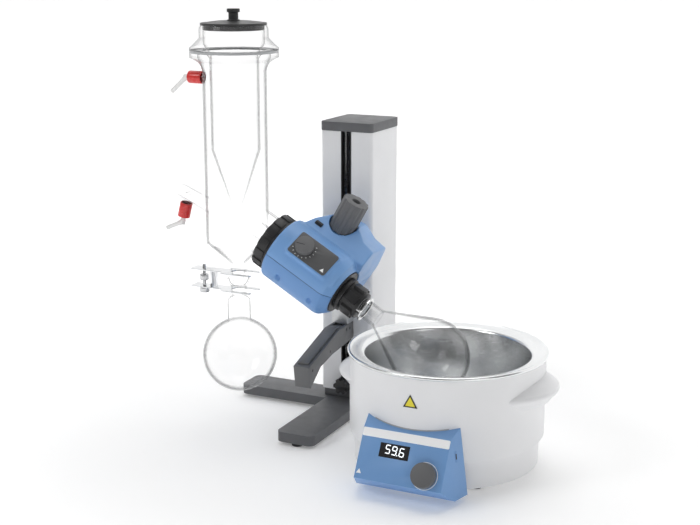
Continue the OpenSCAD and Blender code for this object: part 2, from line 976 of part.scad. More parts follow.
// Half outline of the jacket's outside, or of its inside when t is its wall.
function jacket_outline(t) = concat(
    [[0, ball_z - ball_r * sin(52)]],
    t > 0
        ? [[neck_r - 4, ball_z - ball_r * sin(52) - 1], [neck_r - 4, ball_z + 4],
           [neck_r - t, ball_z + 10], [neck_r - t, 298 + t / 2]]
        : concat(arc([0, ball_z], ball_r, -52, 0, 8),
                 [[ball_r, ball_z + 3], [neck_r, ball_z + 6], [neck_r, 298]]),
    [[jacket_r - t, jacket_z + t / 2], [jacket_r - t, jacket_top]],
    t > 0
        ? [[flange_r - 13.5, jacket_flange_z - 8], [flange_r - 13.5, jacket_flange_z + 1],
           [0, jacket_flange_z + 1]]
        : concat(arc([flange_r, jacket_top], flange_r - jacket_r, 180, 112, 6),
                 [[flange_r, jacket_flange_z - 8], [flange_r, jacket_flange_z],
                  [0, jacket_flange_z]])
);

module condenser_jacket() {
    port_l = (condenser_x / cos(drive_tilt)) + port_end;
    color("lightcyan")
        difference() {
            union() {
                on_condenser() rotate_extrude() polygon(jacket_outline(0));
                on_head() along(port_end - port_l) cylinder(r = port_r, h = port_l);
                on_head() along(port_end - 4) cylinder(r = spigot_r - 2, h = 4);
                on_upper_port() translate([0, 0, -1.5]) cylinder(r = 9, h = 14);
                on_stopcock() cylinder(r = 12.5, h = 68);
                on_stopcock() translate([0, 0, 63]) cylinder(r = 15, h = 4);
                on_branch() cylinder(r = 6, h = 18);
                on_branch() translate([0, 0, 15]) cylinder(r = 9, h = 14);
            }
            on_condenser() rotate_extrude() polygon(jacket_outline(glass_wall));
            on_head() along(port_end - port_l) cylinder(r = port_r - 3, h = port_l + 5);
            on_upper_port() translate([0, 0, -5]) cylinder(r = 5, h = 20);
            on_stopcock() cylinder(r = 10.5, h = 70);
            on_branch() cylinder(r = 4, h = 30);
        }
}

// Half outline of the cold finger's outside, or of its inside when t is its wall.
function finger_outline(t) = concat(
    arc([0, finger_tip + 8], 8 - t, -90, -30, 5),
    [[finger_r - t, 495 + t / 2], [finger_r - t, finger_flange_z - 14 + 3 * t]],
    t > 0
        ? [[lid_r - 4, finger_flange_z + 10], [lid_r - 4, rim_z + 1], [0, rim_z + 1]]
        : [[finger_r + 12, finger_flange_z], [flange_r, finger_flange_z],
           [flange_r, finger_flange_z + 4], [flange_r - 5, finger_flange_z + 8],
           [lid_r + 2.5, finger_flange_z + 20], [lid_r + 2.5, rim_z - 6],
           [lid_r, rim_z], [0, rim_z]]
);

module cold_finger() {
    color("lightcyan") on_condenser()
        difference() {
            rotate_extrude() polygon(finger_outline(0));
            rotate_extrude() polygon(finger_outline(glass_wall));
        }
}

module flange_seal() {
    color("black") on_condenser()
        translate([0, 0, jacket_flange_z]) sleeve(flange_r - 0.5, flange_r - 12, seal_t);
}

module condenser_lid() {
    color("black") on_condenser()
        translate([0, 0, rim_z]) {
            cylinder(r = lid_r, h = 4);
            translate([0, 0, -8]) sleeve(lid_r - 4.6, lid_r - 8, 9);
            translate([0, 0, 4]) cylinder(r1 = lid_r - 2, r2 = 30, h = 3);
            translate([0, 0, 6]) cylinder(r = 11, h = 3);
            translate([0, 0, 8]) cylinder(r = 8.3, h = 14);
            translate([0, 0, 21]) cylinder(r = 11, h = 6);
        }
}

// Cap over a hose port, with its mouth at z = 0.
module hose_cap() {
    difference() {
        cylinder(r = hose_cap_r, h = hose_cap_l);
        translate([0, 0, -1]) cylinder(r = 9, h = 13);
        cylinder(r = nozzle_r, h = hose_cap_l + 1);
    }
}

module hose_caps() {
    color("red") {
        on_upper_port() translate([0, 0, 8]) hose_cap();
        on_branch() translate([0, 0, 17]) hose_cap();
    }
}

// Bent hose nozzle: straight for l1, then turned by bend for l2, with a band round
// the knee that the hose butts on.
module hose_nozzle(l1, bend, l2) {
    difference() {
        union() {
            cylinder(r = nozzle_r, h = l1);
            translate([0, 0, l1 - 4]) cylinder(r = nozzle_r + 0.8, h = 8);
            translate([0, 0, l1])
                rotate([0, bend, 0]) {
                    cylinder(r = nozzle_r, h = l2);
                    cylinder(r = nozzle_r + 0.8, h = knee_l);
                }
        }
        translate([0, 0, -1]) cylinder(r = nozzle_r - 1.6, h = l1 + 2);
        translate([0, 0, l1])
            rotate([0, bend, 0])
                translate([0, 0, -1]) cylinder(r = nozzle_r - 1.8, h = l2 + 2);
    }
}

knee_l = 7;

module hose_nozzles() {
    color("white") {
        on_upper_port() translate([0, 0, 20]) hose_nozzle(21, -41, 40);
        on_branch() translate([0, 0, 29]) hose_nozzle(24, 52, 35);
    }
}

module stopcock_key() {
    color("lightcyan") on_stopcock() {
        difference() {
            translate([0, 0, 32]) cylinder(r = 10.5 - running, h = 37);
            translate([0, 0, branch_s])
                rotate([90, 0, 0])
                    translate([0, 0, -15]) cylinder(r = 3, h = 30);
        }
        translate([0, 0, 68.4]) cylinder(r = 9, h = 14);
        translate([-3, -11, 80]) cube([6, 22, 8]);
    }
}

module joint_clamp() {
    color("silver") on_condenser()
        difference() {
            union() {
                for (z = [ball_z - 24, ball_z + 7])
                    translate([0, 0, z]) {
                        translate([3, 0, 0]) rounded_plate(60, 46, 2, 8);
                        translate([-92, -12, 0]) cube([70, 24, 2]);
                    }
                translate([-52, -10, ball_z - 24]) cube([4, 20, 33]);
            }
            for (z = [ball_z - 25, ball_z + 6])
                translate([0, 0, z]) {
                    cylinder(r = neck_r + 0.1, h = 4);
                    translate([0, -neck_r - 0.1, 0]) cube([40, 2 * neck_r + 0.2, 4]);
                }
            translate([-70, 0, ball_z - 30]) cylinder(r = 3 + running, h = 60);
        }
}

module clamp_screw() {
    color("silver") on_condenser()
        translate([-70, 0, 0]) {
            translate([0, 0, ball_z - 30]) cylinder(r = 3, h = 46);
            translate([0, 0, ball_z - 34]) cylinder(r = 9, h = 9.5);
            translate([0, 0, ball_z - 12]) cylinder(r = 8, h = 10);
        }
}

// Half outline of the receiving flask's outside, or of its inside when t is its wall.
function receiver_outline(t) =
    let (neck = 20.5, low = asin(neck / flask_r), r = flask_r - t)
        concat(
            arc([0, flask_z], r, -90, 90 - low, 20),
            [[neck - t, flask_z + 100], [neck_r - t - 0.6, flask_z + 107 - t / 2],
             [neck_r - t, ball_z - 15.2]],
            t > 0
                ? concat(arc([0, ball_z], ball_r + 0.3, -51, 4, 6), [[0, ball_z + 3]])
                : concat(arc([0, ball_z], ball_r + 2.8, -46, -4, 6), [[0, ball_z - 1.4]])
        );

module receiving_flask() {
    color("lightcyan") on_condenser()
        difference() {
            rotate_extrude() polygon(receiver_outline(0));
            rotate_extrude() polygon(receiver_outline(glass_wall));
        }
}

// ---- Heating bath ----

module bath_shell() {
    shell_h = bath_z - 6.5 - tier_z;
    color("whitesmoke") on_bath()
        difference() {
            union() {
                translate([0, 0, tier_z]) cylinder(r = bath_r, h = shell_h);
                for (s = [-1, 1])
                    translate([s * (lug_reach - lug_round), 0, 0])
                        rotate_extrude()
                            polygon([[0, 109], [lug_round - lug_reach + bath_r, 109],
                                     [lug_round, 128], [lug_round, 150],
                                     [lug_round - lug_reach + bath_r, 159], [0, 159]]);
            }
            translate([0, 0, tier_z + bath_wall]) cylinder(r = bath_r - bath_wall, h = 300);
            translate([0, 0, tier_z - 1]) cylinder(r = 20, h = 10);
        }
}

module bath_base() {
    color("whitesmoke") on_bath()
        difference() {
            translate([0, 0, bath_foot_h]) cylinder(r = base_tier_r, h = tier_z - bath_foot_h);
            translate([0, 0, bath_foot_h + bath_wall])
                cylinder(r = base_tier_r - bath_wall, h = 100);
            translate([-17, base_tier_r - 30, 17]) cube([34, 60, 28]);
        }
}

module bath_vessel() {
    rim_w = bath_r + 4 - vessel_r;
    color("silver") on_bath()
        rotate_extrude()
            polygon(concat(
                [[0, vessel_floor - vessel_wall], [vessel_r - 12, vessel_floor - vessel_wall],
                 [vessel_r, vessel_floor + 10], [vessel_r, bath_z - 6.5],
                 [bath_r - 1, bath_z - 6.5]],
                arc([bath_r + 1, bath_z - 3], 3, -120, 120, 8),
                [[vessel_r + 2, bath_z - 6.5 + vessel_wall],
                 [vessel_r - vessel_wall, bath_z - 10],
                 [vessel_r - vessel_wall, vessel_floor + 10],
                 [vessel_r - 12, vessel_floor], [0, vessel_floor]]
            ));
}

module heating_plate() {
    color("gray") on_bath()
        translate([0, 0, tier_z + bath_wall])
            sleeve(110, 60, vessel_floor - vessel_wall - tier_z - bath_wall);
}

module panel_housing() {
    face_top = face_foot_z + face_l * cos(face_lean);
    color("cornflowerblue")
        difference() {
            intersection() {
                on_bath()
                    side_extrude([[face_foot_y, face_foot_z], [-173, 10], [-140, 10],
                                  [-140, face_top + 12],
                                  [face_foot_y + face_l * sin(face_lean), face_top]],
                                 2 * face_w);
                on_face()
                    translate([0, 200, 0])
                        rotate([90, 0, 0])
                            linear_extrude(height = 400)
                                polygon([[-face_w / 2, 0], [face_w / 2, 0],
                                         [face_w / 2 + cheek_flare, -100],
                                         [-face_w / 2 - cheek_flare, -100]]);
            }
            on_bath() cylinder(r = base_tier_r, h = tier_z);
            on_bath() translate([0, 0, tier_z]) cylinder(r = bath_r, h = 200);
            on_face() translate([-39, 38.5, -1.5]) cube([49, 22, 10]);
            on_face() translate([41.7, 21, -12]) cylinder(r = 4, h = 20);
        }
}

module display_window() {
    color("black") on_face() translate([-39, 38.5, -1.5]) cube([49, 22, 1.6]);
}

module bath_feet() {
    color("black") on_bath()
        for (a = [45:90:359])
            rotate(a) translate([120, 0, 0]) cylinder(r = 9, h = bath_foot_h);
}

module bath_inlet() {
    color("black") on_bath()
        translate([0, base_tier_r, 31])
            difference() {
                union() {
                    translate([-14, -22, -11]) cube([28, 20, 22]);
                    translate([-17, -5, -14]) cube([34, 8, 28]);
                }
                translate([-11.5, -14, -8]) cube([23, 20, 16]);
            }
}

module bath_knob() {
    color("dimgray") on_face()
        translate([41.7, 21, 0.5]) {
            cylinder(r = bath_knob_r, h = 11);
            translate([0, 0, -11]) cylinder(r = 3.9, h = 12);
        }
}

base_frame();
base_feet();
column_plinth();
lift_column();
column_cap();
guide_rods();
gas_spring_cylinder();
slot_seals();
power_inlet();
end_stop_block();
end_stop_knob();
carriage_block();
guide_bushes();
gas_spring_rod();
tilt_shaft();
handle_body();
handle_screws();
release_lever();
housing_upper();
housing_lower();
housing_screws();
tilt_hub();
panel_plate();
control_board();
drive_motor();
drive_belt();
shaft_bearings();
front_flange();
rear_collar();
condenser_seal();
condenser_jacket();
cold_finger();
flange_seal();
hose_caps();
hose_nozzles();
joint_clamp();
receiving_flask();
motor_pulley();
hollow_shaft();
driven_pulley();
vapor_duct();
flask_hub();
flask_clip();
evaporating_flask();
union_nut();
speed_knob();
tilt_clamp_knob();
lock_button();
clamp_screw();
condenser_lid();
stopcock_key();
bath_shell();
bath_base();
bath_vessel();
heating_plate();
panel_housing();
display_window();
bath_feet();
bath_inlet();
bath_knob();
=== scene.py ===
"""Looks for a benchtop rotary evaporator with an upright cold-finger condenser.

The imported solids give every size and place. Each class below dresses one sub-assembly:
it keeps the solids whose form is right, rounds the edges of others, and models finer
pieces where the real form is softer or busier than a plain solid. Pieces are modelled in
millimetres in the frame of their sub-assembly and then placed in metres.
"""

import json
import logging
import math
from dataclasses import dataclass
from enum import Enum
from typing import Sequence

import bpy
from mathutils import Matrix, Vector

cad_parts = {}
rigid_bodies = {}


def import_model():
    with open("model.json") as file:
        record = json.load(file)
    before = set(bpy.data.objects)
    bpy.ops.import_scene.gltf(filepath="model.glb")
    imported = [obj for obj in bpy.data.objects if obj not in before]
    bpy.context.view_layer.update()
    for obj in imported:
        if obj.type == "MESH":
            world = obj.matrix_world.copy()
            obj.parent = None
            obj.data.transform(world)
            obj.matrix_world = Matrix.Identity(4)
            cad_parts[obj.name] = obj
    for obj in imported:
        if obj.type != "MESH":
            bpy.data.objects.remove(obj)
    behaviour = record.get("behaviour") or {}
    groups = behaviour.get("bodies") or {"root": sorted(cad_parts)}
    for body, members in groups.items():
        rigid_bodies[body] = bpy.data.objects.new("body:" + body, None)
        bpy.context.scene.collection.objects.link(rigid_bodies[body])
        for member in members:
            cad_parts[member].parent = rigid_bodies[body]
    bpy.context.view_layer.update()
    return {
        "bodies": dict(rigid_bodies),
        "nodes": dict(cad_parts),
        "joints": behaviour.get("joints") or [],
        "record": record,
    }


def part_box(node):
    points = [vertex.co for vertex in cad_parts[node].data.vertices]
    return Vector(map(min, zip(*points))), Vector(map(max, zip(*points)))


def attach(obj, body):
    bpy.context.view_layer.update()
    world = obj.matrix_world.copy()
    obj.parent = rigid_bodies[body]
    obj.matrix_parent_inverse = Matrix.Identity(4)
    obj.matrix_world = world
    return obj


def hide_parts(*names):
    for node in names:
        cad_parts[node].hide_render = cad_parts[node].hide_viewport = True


LOG = logging.getLogger("evaporator")
MM = 0.001
Point2 = tuple[float, float]
Point3 = tuple[float, float, float]
Colour = tuple[float, float, float]
Shader = bpy.types.ShaderNode
Tree = bpy.types.ShaderNodeTree


# ---- Finishes ----


class Pattern(Enum):
    """How a finish's grain runs over its surface."""

    EVEN = (1.0, 1.0, 1.0)
    TURNED = (1.0, 1.0, 60.0)
    DRAWN = (1.0, 1.0, 0.03)


@dataclass(frozen=True)
class Finish:
    """A paint, plastic, rubber or metal, with its own grain, tone drift and rubbed patches."""

    name: str
    colour: Colour
    roughness: float
    metallic: float = 0.0
    drift: float = 0.05
    rub: float = 0.07
    grain: float = 0.12
    grain_size: float = 0.0007
    coat: float = 0.0
    glow: float = 0.0
    pattern: Pattern = Pattern.EVEN

    def material(self) -> bpy.types.Material:
        """Builds the finish's node material, once.

        Returns:
            The material, shared by every piece that has this finish.
        """
        found = bpy.data.materials.get(self.name + "_finish")
        if found:
            return found
        made = bpy.data.materials.new(self.name + "_finish")
        made.use_nodes = True
        tree = made.node_tree
        shader = tree.nodes["Principled BSDF"]
        shader.inputs["Metallic"].default_value = self.metallic
        shader.inputs["Coat Weight"].default_value = self.coat
        shader.inputs["Coat Roughness"].default_value = 0.08
        where = tree.nodes.new("ShaderNodeTexCoord")
        turn = tree.nodes.new("ShaderNodeMapping")
        turn.inputs["Scale"].default_value = self.pattern.value
        tree.links.new(where.outputs["Object"], turn.inputs["Vector"])
        self._tone(tree, turn, shader)
        self._rubbed(tree, turn, shader)
        self._grain(tree, turn, shader)
        made.diffuse_color = (*self.colour, 1.0)
        return made

    def _tone(self, tree: Tree, turn: Shader, shader: Shader) -> None:
        """Lets the colour drift a little over the surface.

        Args:
            tree: The material's node tree.
            turn: The mapping that the pattern follows.
            shader: The surface's shader.
        """
        nodes, links = tree.nodes, tree.links
        cloud = nodes.new("ShaderNodeTexNoise")
        cloud.inputs["Scale"].default_value = 16.0
        cloud.inputs["Detail"].default_value = 4.0
        ramp = nodes.new("ShaderNodeValToRGB")
        low, high = ramp.color_ramp.elements
        low.position, high.position = 0.3, 0.7
        low.color = (*(c * (1 - self.drift) for c in self.colour), 1.0)
        high.color = (*(min(1.0, c * (1 + self.drift)) for c in self.colour), 1.0)
        links.new(turn.outputs["Vector"], cloud.inputs["Vector"])
        links.new(cloud.outputs["Fac"], ramp.inputs["Fac"])
        links.new(ramp.outputs["Color"], shader.inputs["Base Color"])
        if self.glow:
            links.new(ramp.outputs["Color"], shader.inputs["Emission Color"])
            shader.inputs["Emission Strength"].default_value = self.glow

    def _rubbed(self, tree: Tree, turn: Shader, shader: Shader) -> None:
        """Lets the gloss wander, as handling leaves it.

        Args:
            tree: The material's node tree.
            turn: The mapping that the pattern follows.
            shader: The surface's shader.
        """
        nodes, links = tree.nodes, tree.links
        patch = nodes.new("ShaderNodeTexNoise")
        patch.inputs["Scale"].default_value = 55.0
        patch.inputs["Detail"].default_value = 5.0
        span = nodes.new("ShaderNodeMapRange")
        span.inputs["From Min"].default_value = 0.25
        span.inputs["From Max"].default_value = 0.75
        span.inputs["To Min"].default_value = max(0.0, self.roughness - self.rub)
        span.inputs["To Max"].default_value = min(1.0, self.roughness + self.rub)
        links.new(turn.outputs["Vector"], patch.inputs["Vector"])
        links.new(patch.outputs["Fac"], span.inputs["Value"])
        links.new(span.outputs["Result"], shader.inputs["Roughness"])

    def _grain(self, tree: Tree, turn: Shader, shader: Shader) -> None:
        """Raises the fine grain of the mould, coating or brush.

        Args:
            tree: The material's node tree.
            turn: The mapping that the pattern follows.
            shader: The surface's shader.
        """
        nodes, links = tree.nodes, tree.links
        fine = nodes.new("ShaderNodeTexNoise")
        fine.inputs["Scale"].default_value = 1.0 / self.grain_size
        fine.inputs["Detail"].default_value = 2.0
        bump = nodes.new("ShaderNodeBump")
        bump.inputs["Strength"].default_value = self.grain
        bump.inputs["Distance"].default_value = 0.0002
        links.new(turn.outputs["Vector"], fine.inputs["Vector"])
        links.new(fine.outputs["Fac"], bump.inputs["Height"])
        links.new(bump.outputs["Normal"], shader.inputs["Normal"])


@dataclass(frozen=True)
class BlownGlass(Finish):
    """Thin-walled clear glass: clear face on, shiny and grey edge on, the grey being painted
    shade in place of the wall's refraction.
    """

    gloss: float = 0.022
    start: float = 0.5
    edge: float = 0.62

    def material(self) -> bpy.types.Material:
        """Builds the glass over the base finish, whose dark colour shows at its edges as
        painted shade.

        Returns:
            The glass material.
        """
        found = bpy.data.materials.get(self.name + "_finish")
        if found:
            return found
        made = super().material()
        nodes, links = made.node_tree.nodes, made.node_tree.links
        weight = nodes.new("ShaderNodeLayerWeight")
        weight.inputs["Blend"].default_value = 0.5
        span = nodes.new("ShaderNodeMapRange")
        span.interpolation_type = "SMOOTHSTEP"
        span.inputs["From Min"].default_value = self.start
        span.inputs["To Max"].default_value = self.edge
        clear = nodes.new("ShaderNodeBsdfTransparent")
        shine = nodes.new("ShaderNodeBsdfGlossy")
        shine.inputs["Roughness"].default_value = 0.02
        edge_shade_mix, skin = nodes.new("ShaderNodeMixShader"), nodes.new("ShaderNodeMixShader")
        skin.inputs["Fac"].default_value = self.gloss
        # The facing weight mixes the dark base in at grazing angles: painted shade on the
        # glass's edges.
        links.new(weight.outputs["Facing"], span.inputs["Value"])
        links.new(span.outputs["Result"], edge_shade_mix.inputs["Fac"])
        links.new(clear.outputs["BSDF"], edge_shade_mix.inputs[1])
        links.new(nodes["Principled BSDF"].outputs["BSDF"], edge_shade_mix.inputs[2])
        links.new(edge_shade_mix.outputs["Shader"], skin.inputs[1])
        links.new(shine.outputs["BSDF"], skin.inputs[2])
        links.new(skin.outputs["Shader"], nodes["Material Output"].inputs["Surface"])
        return made


@dataclass(frozen=True)
class StudioPaper(Finish):
    """The studio floor, which glows more away from the instrument."""

    near: float = 0.2
    far: float = 0.62

    def material(self) -> bpy.types.Material:
        """Builds the paper over the base finish.

        Returns:
            The paper's material.
        """
        found = bpy.data.materials.get(self.name + "_finish")
        if found:
            return found
        made = super().material()
        nodes, links = made.node_tree.nodes, made.node_tree.links
        where = nodes.new("ShaderNodeTexCoord")
        reach = nodes.new("ShaderNodeVectorMath")
        reach.operation = "LENGTH"
        span = nodes.new("ShaderNodeMapRange")
        span.interpolation_type = "SMOOTHSTEP"
        span.inputs["From Min"].default_value = 0.35
        span.inputs["From Max"].default_value = 1.3
        span.inputs["To Min"].default_value = self.near
        span.inputs["To Max"].default_value = self.far
        links.new(where.outputs["Object"], reach.inputs[0])
        links.new(reach.outputs["Value"], span.inputs["Value"])
        links.new(span.outputs["Result"],
                  nodes["Principled BSDF"].inputs["Emission Strength"])
        return made


BASE_GREY = Finish("painted_dark", (0.115, 0.118, 0.125), 0.5, grain=0.25)
POWDER_WHITE = Finish("white_coat", (0.85, 0.855, 0.87), 0.42, drift=0.015, grain=0.18)
SHELL_WHITE = Finish("white_plastic", (0.89, 0.893, 0.905), 0.36, drift=0.012, grain=0.06)
SKY_BLUE = Finish("blue_plastic", (0.19, 0.38, 0.71), 0.38, drift=0.03, grain=0.05)
# A darker copy of the sky blue: painted shade, worn by the casing's lower half and the cheek
# slot.
SHADED_BLUE = Finish("shaded_blue_plastic", (0.15, 0.32, 0.64), 0.4, drift=0.03, grain=0.05)
HANDLE_GREY = Finish("grey_plastic", (0.15, 0.152, 0.156), 0.5, grain=0.2)
KNOB_GREY = Finish("knob_grey", (0.14, 0.142, 0.147), 0.5, grain=0.15)
BLACK_PLASTIC = Finish("black_plastic", (0.017, 0.017, 0.018), 0.42, grain=0.14)
PANEL_BLACK = Finish("panel_grey", (0.095, 0.097, 0.1), 0.45, drift=0.03, grain=0.05)
BLACK_GLOSS = Finish("black_gloss", (0.008, 0.008, 0.01), 0.12, rub=0.05, grain=0.01, coat=1.0)
CAP_RED = Finish("red_plastic", (0.66, 0.02, 0.018), 0.28, drift=0.04, grain=0.04, coat=0.3)
PTFE_WHITE = Finish("white_ptfe", (0.83, 0.83, 0.82), 0.35, drift=0.02, grain=0.05)
# White print that also glows faintly (glow 0.14): the glow is painted light, as the print is
# no lamp.
PRINT_WHITE_GLOWING = Finish("print_white_glowing", (0.88, 0.89, 0.9), 0.5, drift=0.02, grain=0.04, glow=0.14)
LAMP_WHITE = Finish("lamp_white", (0.9, 0.95, 1.0), 0.5, drift=0.02, grain=0.02, glow=0.9)
SIGN_YELLOW = Finish("sign_yellow", (0.86, 0.74, 0.04), 0.4, drift=0.03, grain=0.03)
RUBBER_BLACK = Finish("rubber", (0.02, 0.02, 0.021), 0.75, grain=0.35, grain_size=0.0011)
SEAL_GREY = Finish("seal_grey", (0.42, 0.43, 0.44), 0.3, drift=0.05, grain=0.05)
STEEL = Finish("steel", (0.56, 0.565, 0.575), 0.24, 1.0, drift=0.05, rub=0.08, grain=0.05)
BATH_STEEL = Finish(
    "bath_steel", (0.8, 0.81, 0.815), 0.24, 1.0, drift=0.04, rub=0.05, grain=0.05,
    grain_size=0.012, pattern=Pattern.TURNED,
)
CHROME = Finish("chrome", (0.72, 0.73, 0.74), 0.08, 1.0, drift=0.02, rub=0.04, grain=0.01)
ALUMINIUM = Finish("aluminium", (0.6, 0.61, 0.62), 0.34, 1.0, pattern=Pattern.DRAWN)
BRONZE = Finish("bronze", (0.42, 0.25, 0.1), 0.35, 1.0, drift=0.1)
BOARD_GREEN = Finish("board", (0.02, 0.12, 0.05), 0.45, drift=0.15, grain=0.1)
# Dark grey that shows only edge on: painted shade on the glass's rims.
GLASS = BlownGlass("glass", (0.055, 0.06, 0.065), 0.12, drift=0.02, rub=0.04, grain=0.02,
                   grain_size=0.012)
STUDIO_WHITE = StudioPaper("studio_white", (0.93, 0.93, 0.93), 0.9, drift=0.002, grain=0.02,
                           glow=0.3)


# ---- The bench vice: selection, shaping and placing ----


def only(*things: bpy.types.Object) -> bpy.types.Object:
    """Selects these objects and nothing else.

    Args:
        things: The objects; the first becomes active.

    Returns:
        The active object.
    """
    if bpy.context.mode != "OBJECT":
        bpy.ops.object.mode_set(mode="OBJECT")
    bpy.ops.object.select_all(action="DESELECT")
    for thing in things:
        thing.select_set(True)
    bpy.context.view_layer.objects.active = things[0]
    return things[0]


def edit(thing: bpy.types.Object, *, every: bool = True) -> None:
    """Opens one object in edit mode, with all of it selected or as it was left."""
    only(thing)
    bpy.ops.object.mode_set(mode="EDIT")
    if every:
        bpy.ops.mesh.select_all(action="SELECT")


def close_edit() -> None:
    """Goes back to object mode."""
    bpy.ops.object.mode_set(mode="OBJECT")


def tidy_mesh(thing: bpy.types.Object, near: float = 0.001) -> bpy.types.Object:
    """Merges doubled corners and turns every face outwards.

    Args:
        thing: The object.
        near: Corners nearer than this are one.

    Returns:
        The same object.
    """
    edit(thing)
    bpy.ops.mesh.remove_doubles(threshold=near)
    bpy.ops.mesh.normals_make_consistent(inside=False)
    close_edit()
    return thing


def settle(thing: bpy.types.Object) -> bpy.types.Object:
    """Writes the object's place, turn and scale into its mesh."""
    only(thing)
    bpy.ops.object.transform_apply(location=True, rotation=True, scale=True)
    return thing


def shift(thing: bpy.types.Object, matrix: Matrix) -> bpy.types.Object:
    """Moves a piece by a matrix, in its mesh."""
    thing.matrix_world = matrix @ thing.matrix_world
    return settle(thing)


def block(low: Point3, high: Point3) -> bpy.types.Object:
    """Adds a block between two corners.

    Args:
        low: Its lowest corner.
        high: Its highest corner.

    Returns:
        The block.
    """
    middle = [(a + b) / 2 for a, b in zip(low, high)]
    size = [b - a for a, b in zip(low, high)]
    bpy.ops.mesh.primitive_cube_add(size=1, location=middle, scale=size)
    return settle(bpy.context.object)


def rod(radius: float, low: float, high: float, at: Point2 = (0, 0), sides: int = 48,
        top: float | None = None) -> bpy.types.Object:
    """Adds an upright cylinder or cone.

    Args:
        radius: Radius at the bottom.
        low: Height of the bottom.
        high: Height of the top.
        at: Where its axis stands.
        sides: Number of sides.
        top: Radius at the top, where it tapers.

    Returns:
        The rod.
    """
    bpy.ops.mesh.primitive_cone_add(
        vertices=sides, radius1=radius, radius2=radius if top is None else top,
        depth=high - low, location=(*at, (low + high) / 2),
    )
    return settle(bpy.context.object)


def outline(points: Sequence[Point2], upright: bool = False) -> bpy.types.Object:
    """Lays a closed wire through points.

    Args:
        points: The corners, in order.
        upright: Stands the second coordinate up Z instead of along Y.

    Returns:
        The wire.
    """
    bpy.ops.mesh.primitive_circle_add(vertices=len(points), radius=1, fill_type="NOTHING")
    wire = bpy.context.object
    for corner, (a, b) in zip(wire.data.vertices, points):
        corner.co = (a, 0, b) if upright else (a, b, 0)
    return wire


def turned(profile: Sequence[Point2], steps: int = 96) -> bpy.types.Object:
    """Turns a closed profile about Z, as on a lathe.

    Args:
        profile: Corners as (radius, height).
        steps: Number of steps in the full turn.

    Returns:
        The turned piece.
    """
    piece = outline(profile, upright=True)
    edit(piece)
    bpy.ops.mesh.spin(
        steps=steps, angle=math.tau, center=(0, 0, 0), axis=(0, 0, 1), use_auto_merge=True
    )
    close_edit()
    return tidy_mesh(piece)


def slab(points: Sequence[Point2], low: float, high: float) -> bpy.types.Object:
    """Raises a flat outline into a plate.

    Args:
        points: The outline's corners.
        low: Height of its underside.
        high: Height of its top.

    Returns:
        The plate.
    """
    plate = outline(points)
    edit(plate)
    bpy.ops.mesh.edge_face_add()
    bpy.ops.mesh.extrude_region_move(TRANSFORM_OT_translate={"value": (0, 0, high - low)})
    close_edit()
    plate.location.z = low
    settle(plate)
    return tidy_mesh(plate)


def fitted(thing: bpy.types.Object, kind: str, **settings: object) -> bpy.types.Object:
    """Adds a modifier, sets it and applies it.

    Args:
        thing: The object.
        kind: The modifier's type.
        settings: Its values by name.

    Returns:
        The same object.
    """
    only(thing)
    modifier = thing.modifiers.new(kind.lower(), kind)
    for name, value in settings.items():
        setattr(modifier, name, value)
    bpy.ops.object.modifier_apply(modifier=modifier.name)
    return thing


def soften(thing: bpy.types.Object, width: float, rounds: int = 3,
           over: float = 30) -> bpy.types.Object:
    """Rounds every edge that is sharper than an angle.

    Args:
        thing: The object.
        width: Width of the rounding.
        rounds: Number of facets over it.
        over: The angle in degrees.

    Returns:
        The same object.
    """
    return fitted(thing, "BEVEL", width=width, segments=rounds, limit_method="ANGLE",
                  angle_limit=math.radians(over))


def carve(thing: bpy.types.Object, *tools: bpy.types.Object,
          how: str = "DIFFERENCE") -> bpy.types.Object:
    """Cuts tools out of a piece, or joins them to it, and throws them away.

    Args:
        thing: The piece.
        tools: The cutters.
        how: DIFFERENCE, UNION or INTERSECT.

    Returns:
        The piece.
    """
    for tool in tools:
        fitted(thing, "BOOLEAN", object=tool, operation=how, solver="EXACT")
        bpy.data.objects.remove(tool)
    return thing


def together(*things: bpy.types.Object) -> bpy.types.Object:
    """Joins loose pieces into one object."""
    only(*things)
    if len(things) > 1:
        bpy.ops.object.join()
    return bpy.context.object


def ring_of(thing: bpy.types.Object, count: int, turn: float = 360) -> bpy.types.Object:
    """Copies a piece round Z, each copy with its own mesh, and joins the copies.

    Args:
        thing: The piece.
        count: How many there are.
        turn: Degrees that they spread over.

    Returns:
        All of them as one object.
    """
    copies = [thing]
    for i in range(1, count):
        only(thing)
        bpy.ops.object.duplicate(linked=False)
        copies.append(shift(bpy.context.object,
                            Matrix.Rotation(math.radians(i * turn / count), 4, "Z")))
    return together(*copies)


def arc(centre: Point2, radius: float, start: float, end: float, n: int = 8) -> list[Point2]:
    """Points along an arc.

    Args:
        centre: The arc's middle.
        radius: Its radius.
        start: First angle in degrees.
        end: Last angle in degrees.
        n: Number of steps.

    Returns:
        n + 1 points.
    """
    return [
        (centre[0] + radius * math.cos(a), centre[1] + radius * math.sin(a))
        for a in (math.radians(start + (end - start) * i / n) for i in range(n + 1))
    ]


def rounded_box(width: float, height: float, radius: float, n: int = 5) -> list[Point2]:
    """Outline of a rectangle with round corners, about the origin."""
    x, y = width / 2 - radius, height / 2 - radius
    corners = ((x, y, 0), (-x, y, 90), (-x, -y, 180), (x, -y, 270))
    return [p for a, b, t in corners for p in arc((a, b), radius, t, t + 90, n)]


def wear(thing: bpy.types.Object, finish: Finish) -> bpy.types.Object:
    """Gives a piece its finish, and only that."""
    thing.data.materials.clear()
    thing.data.materials.append(finish.material())
    return thing


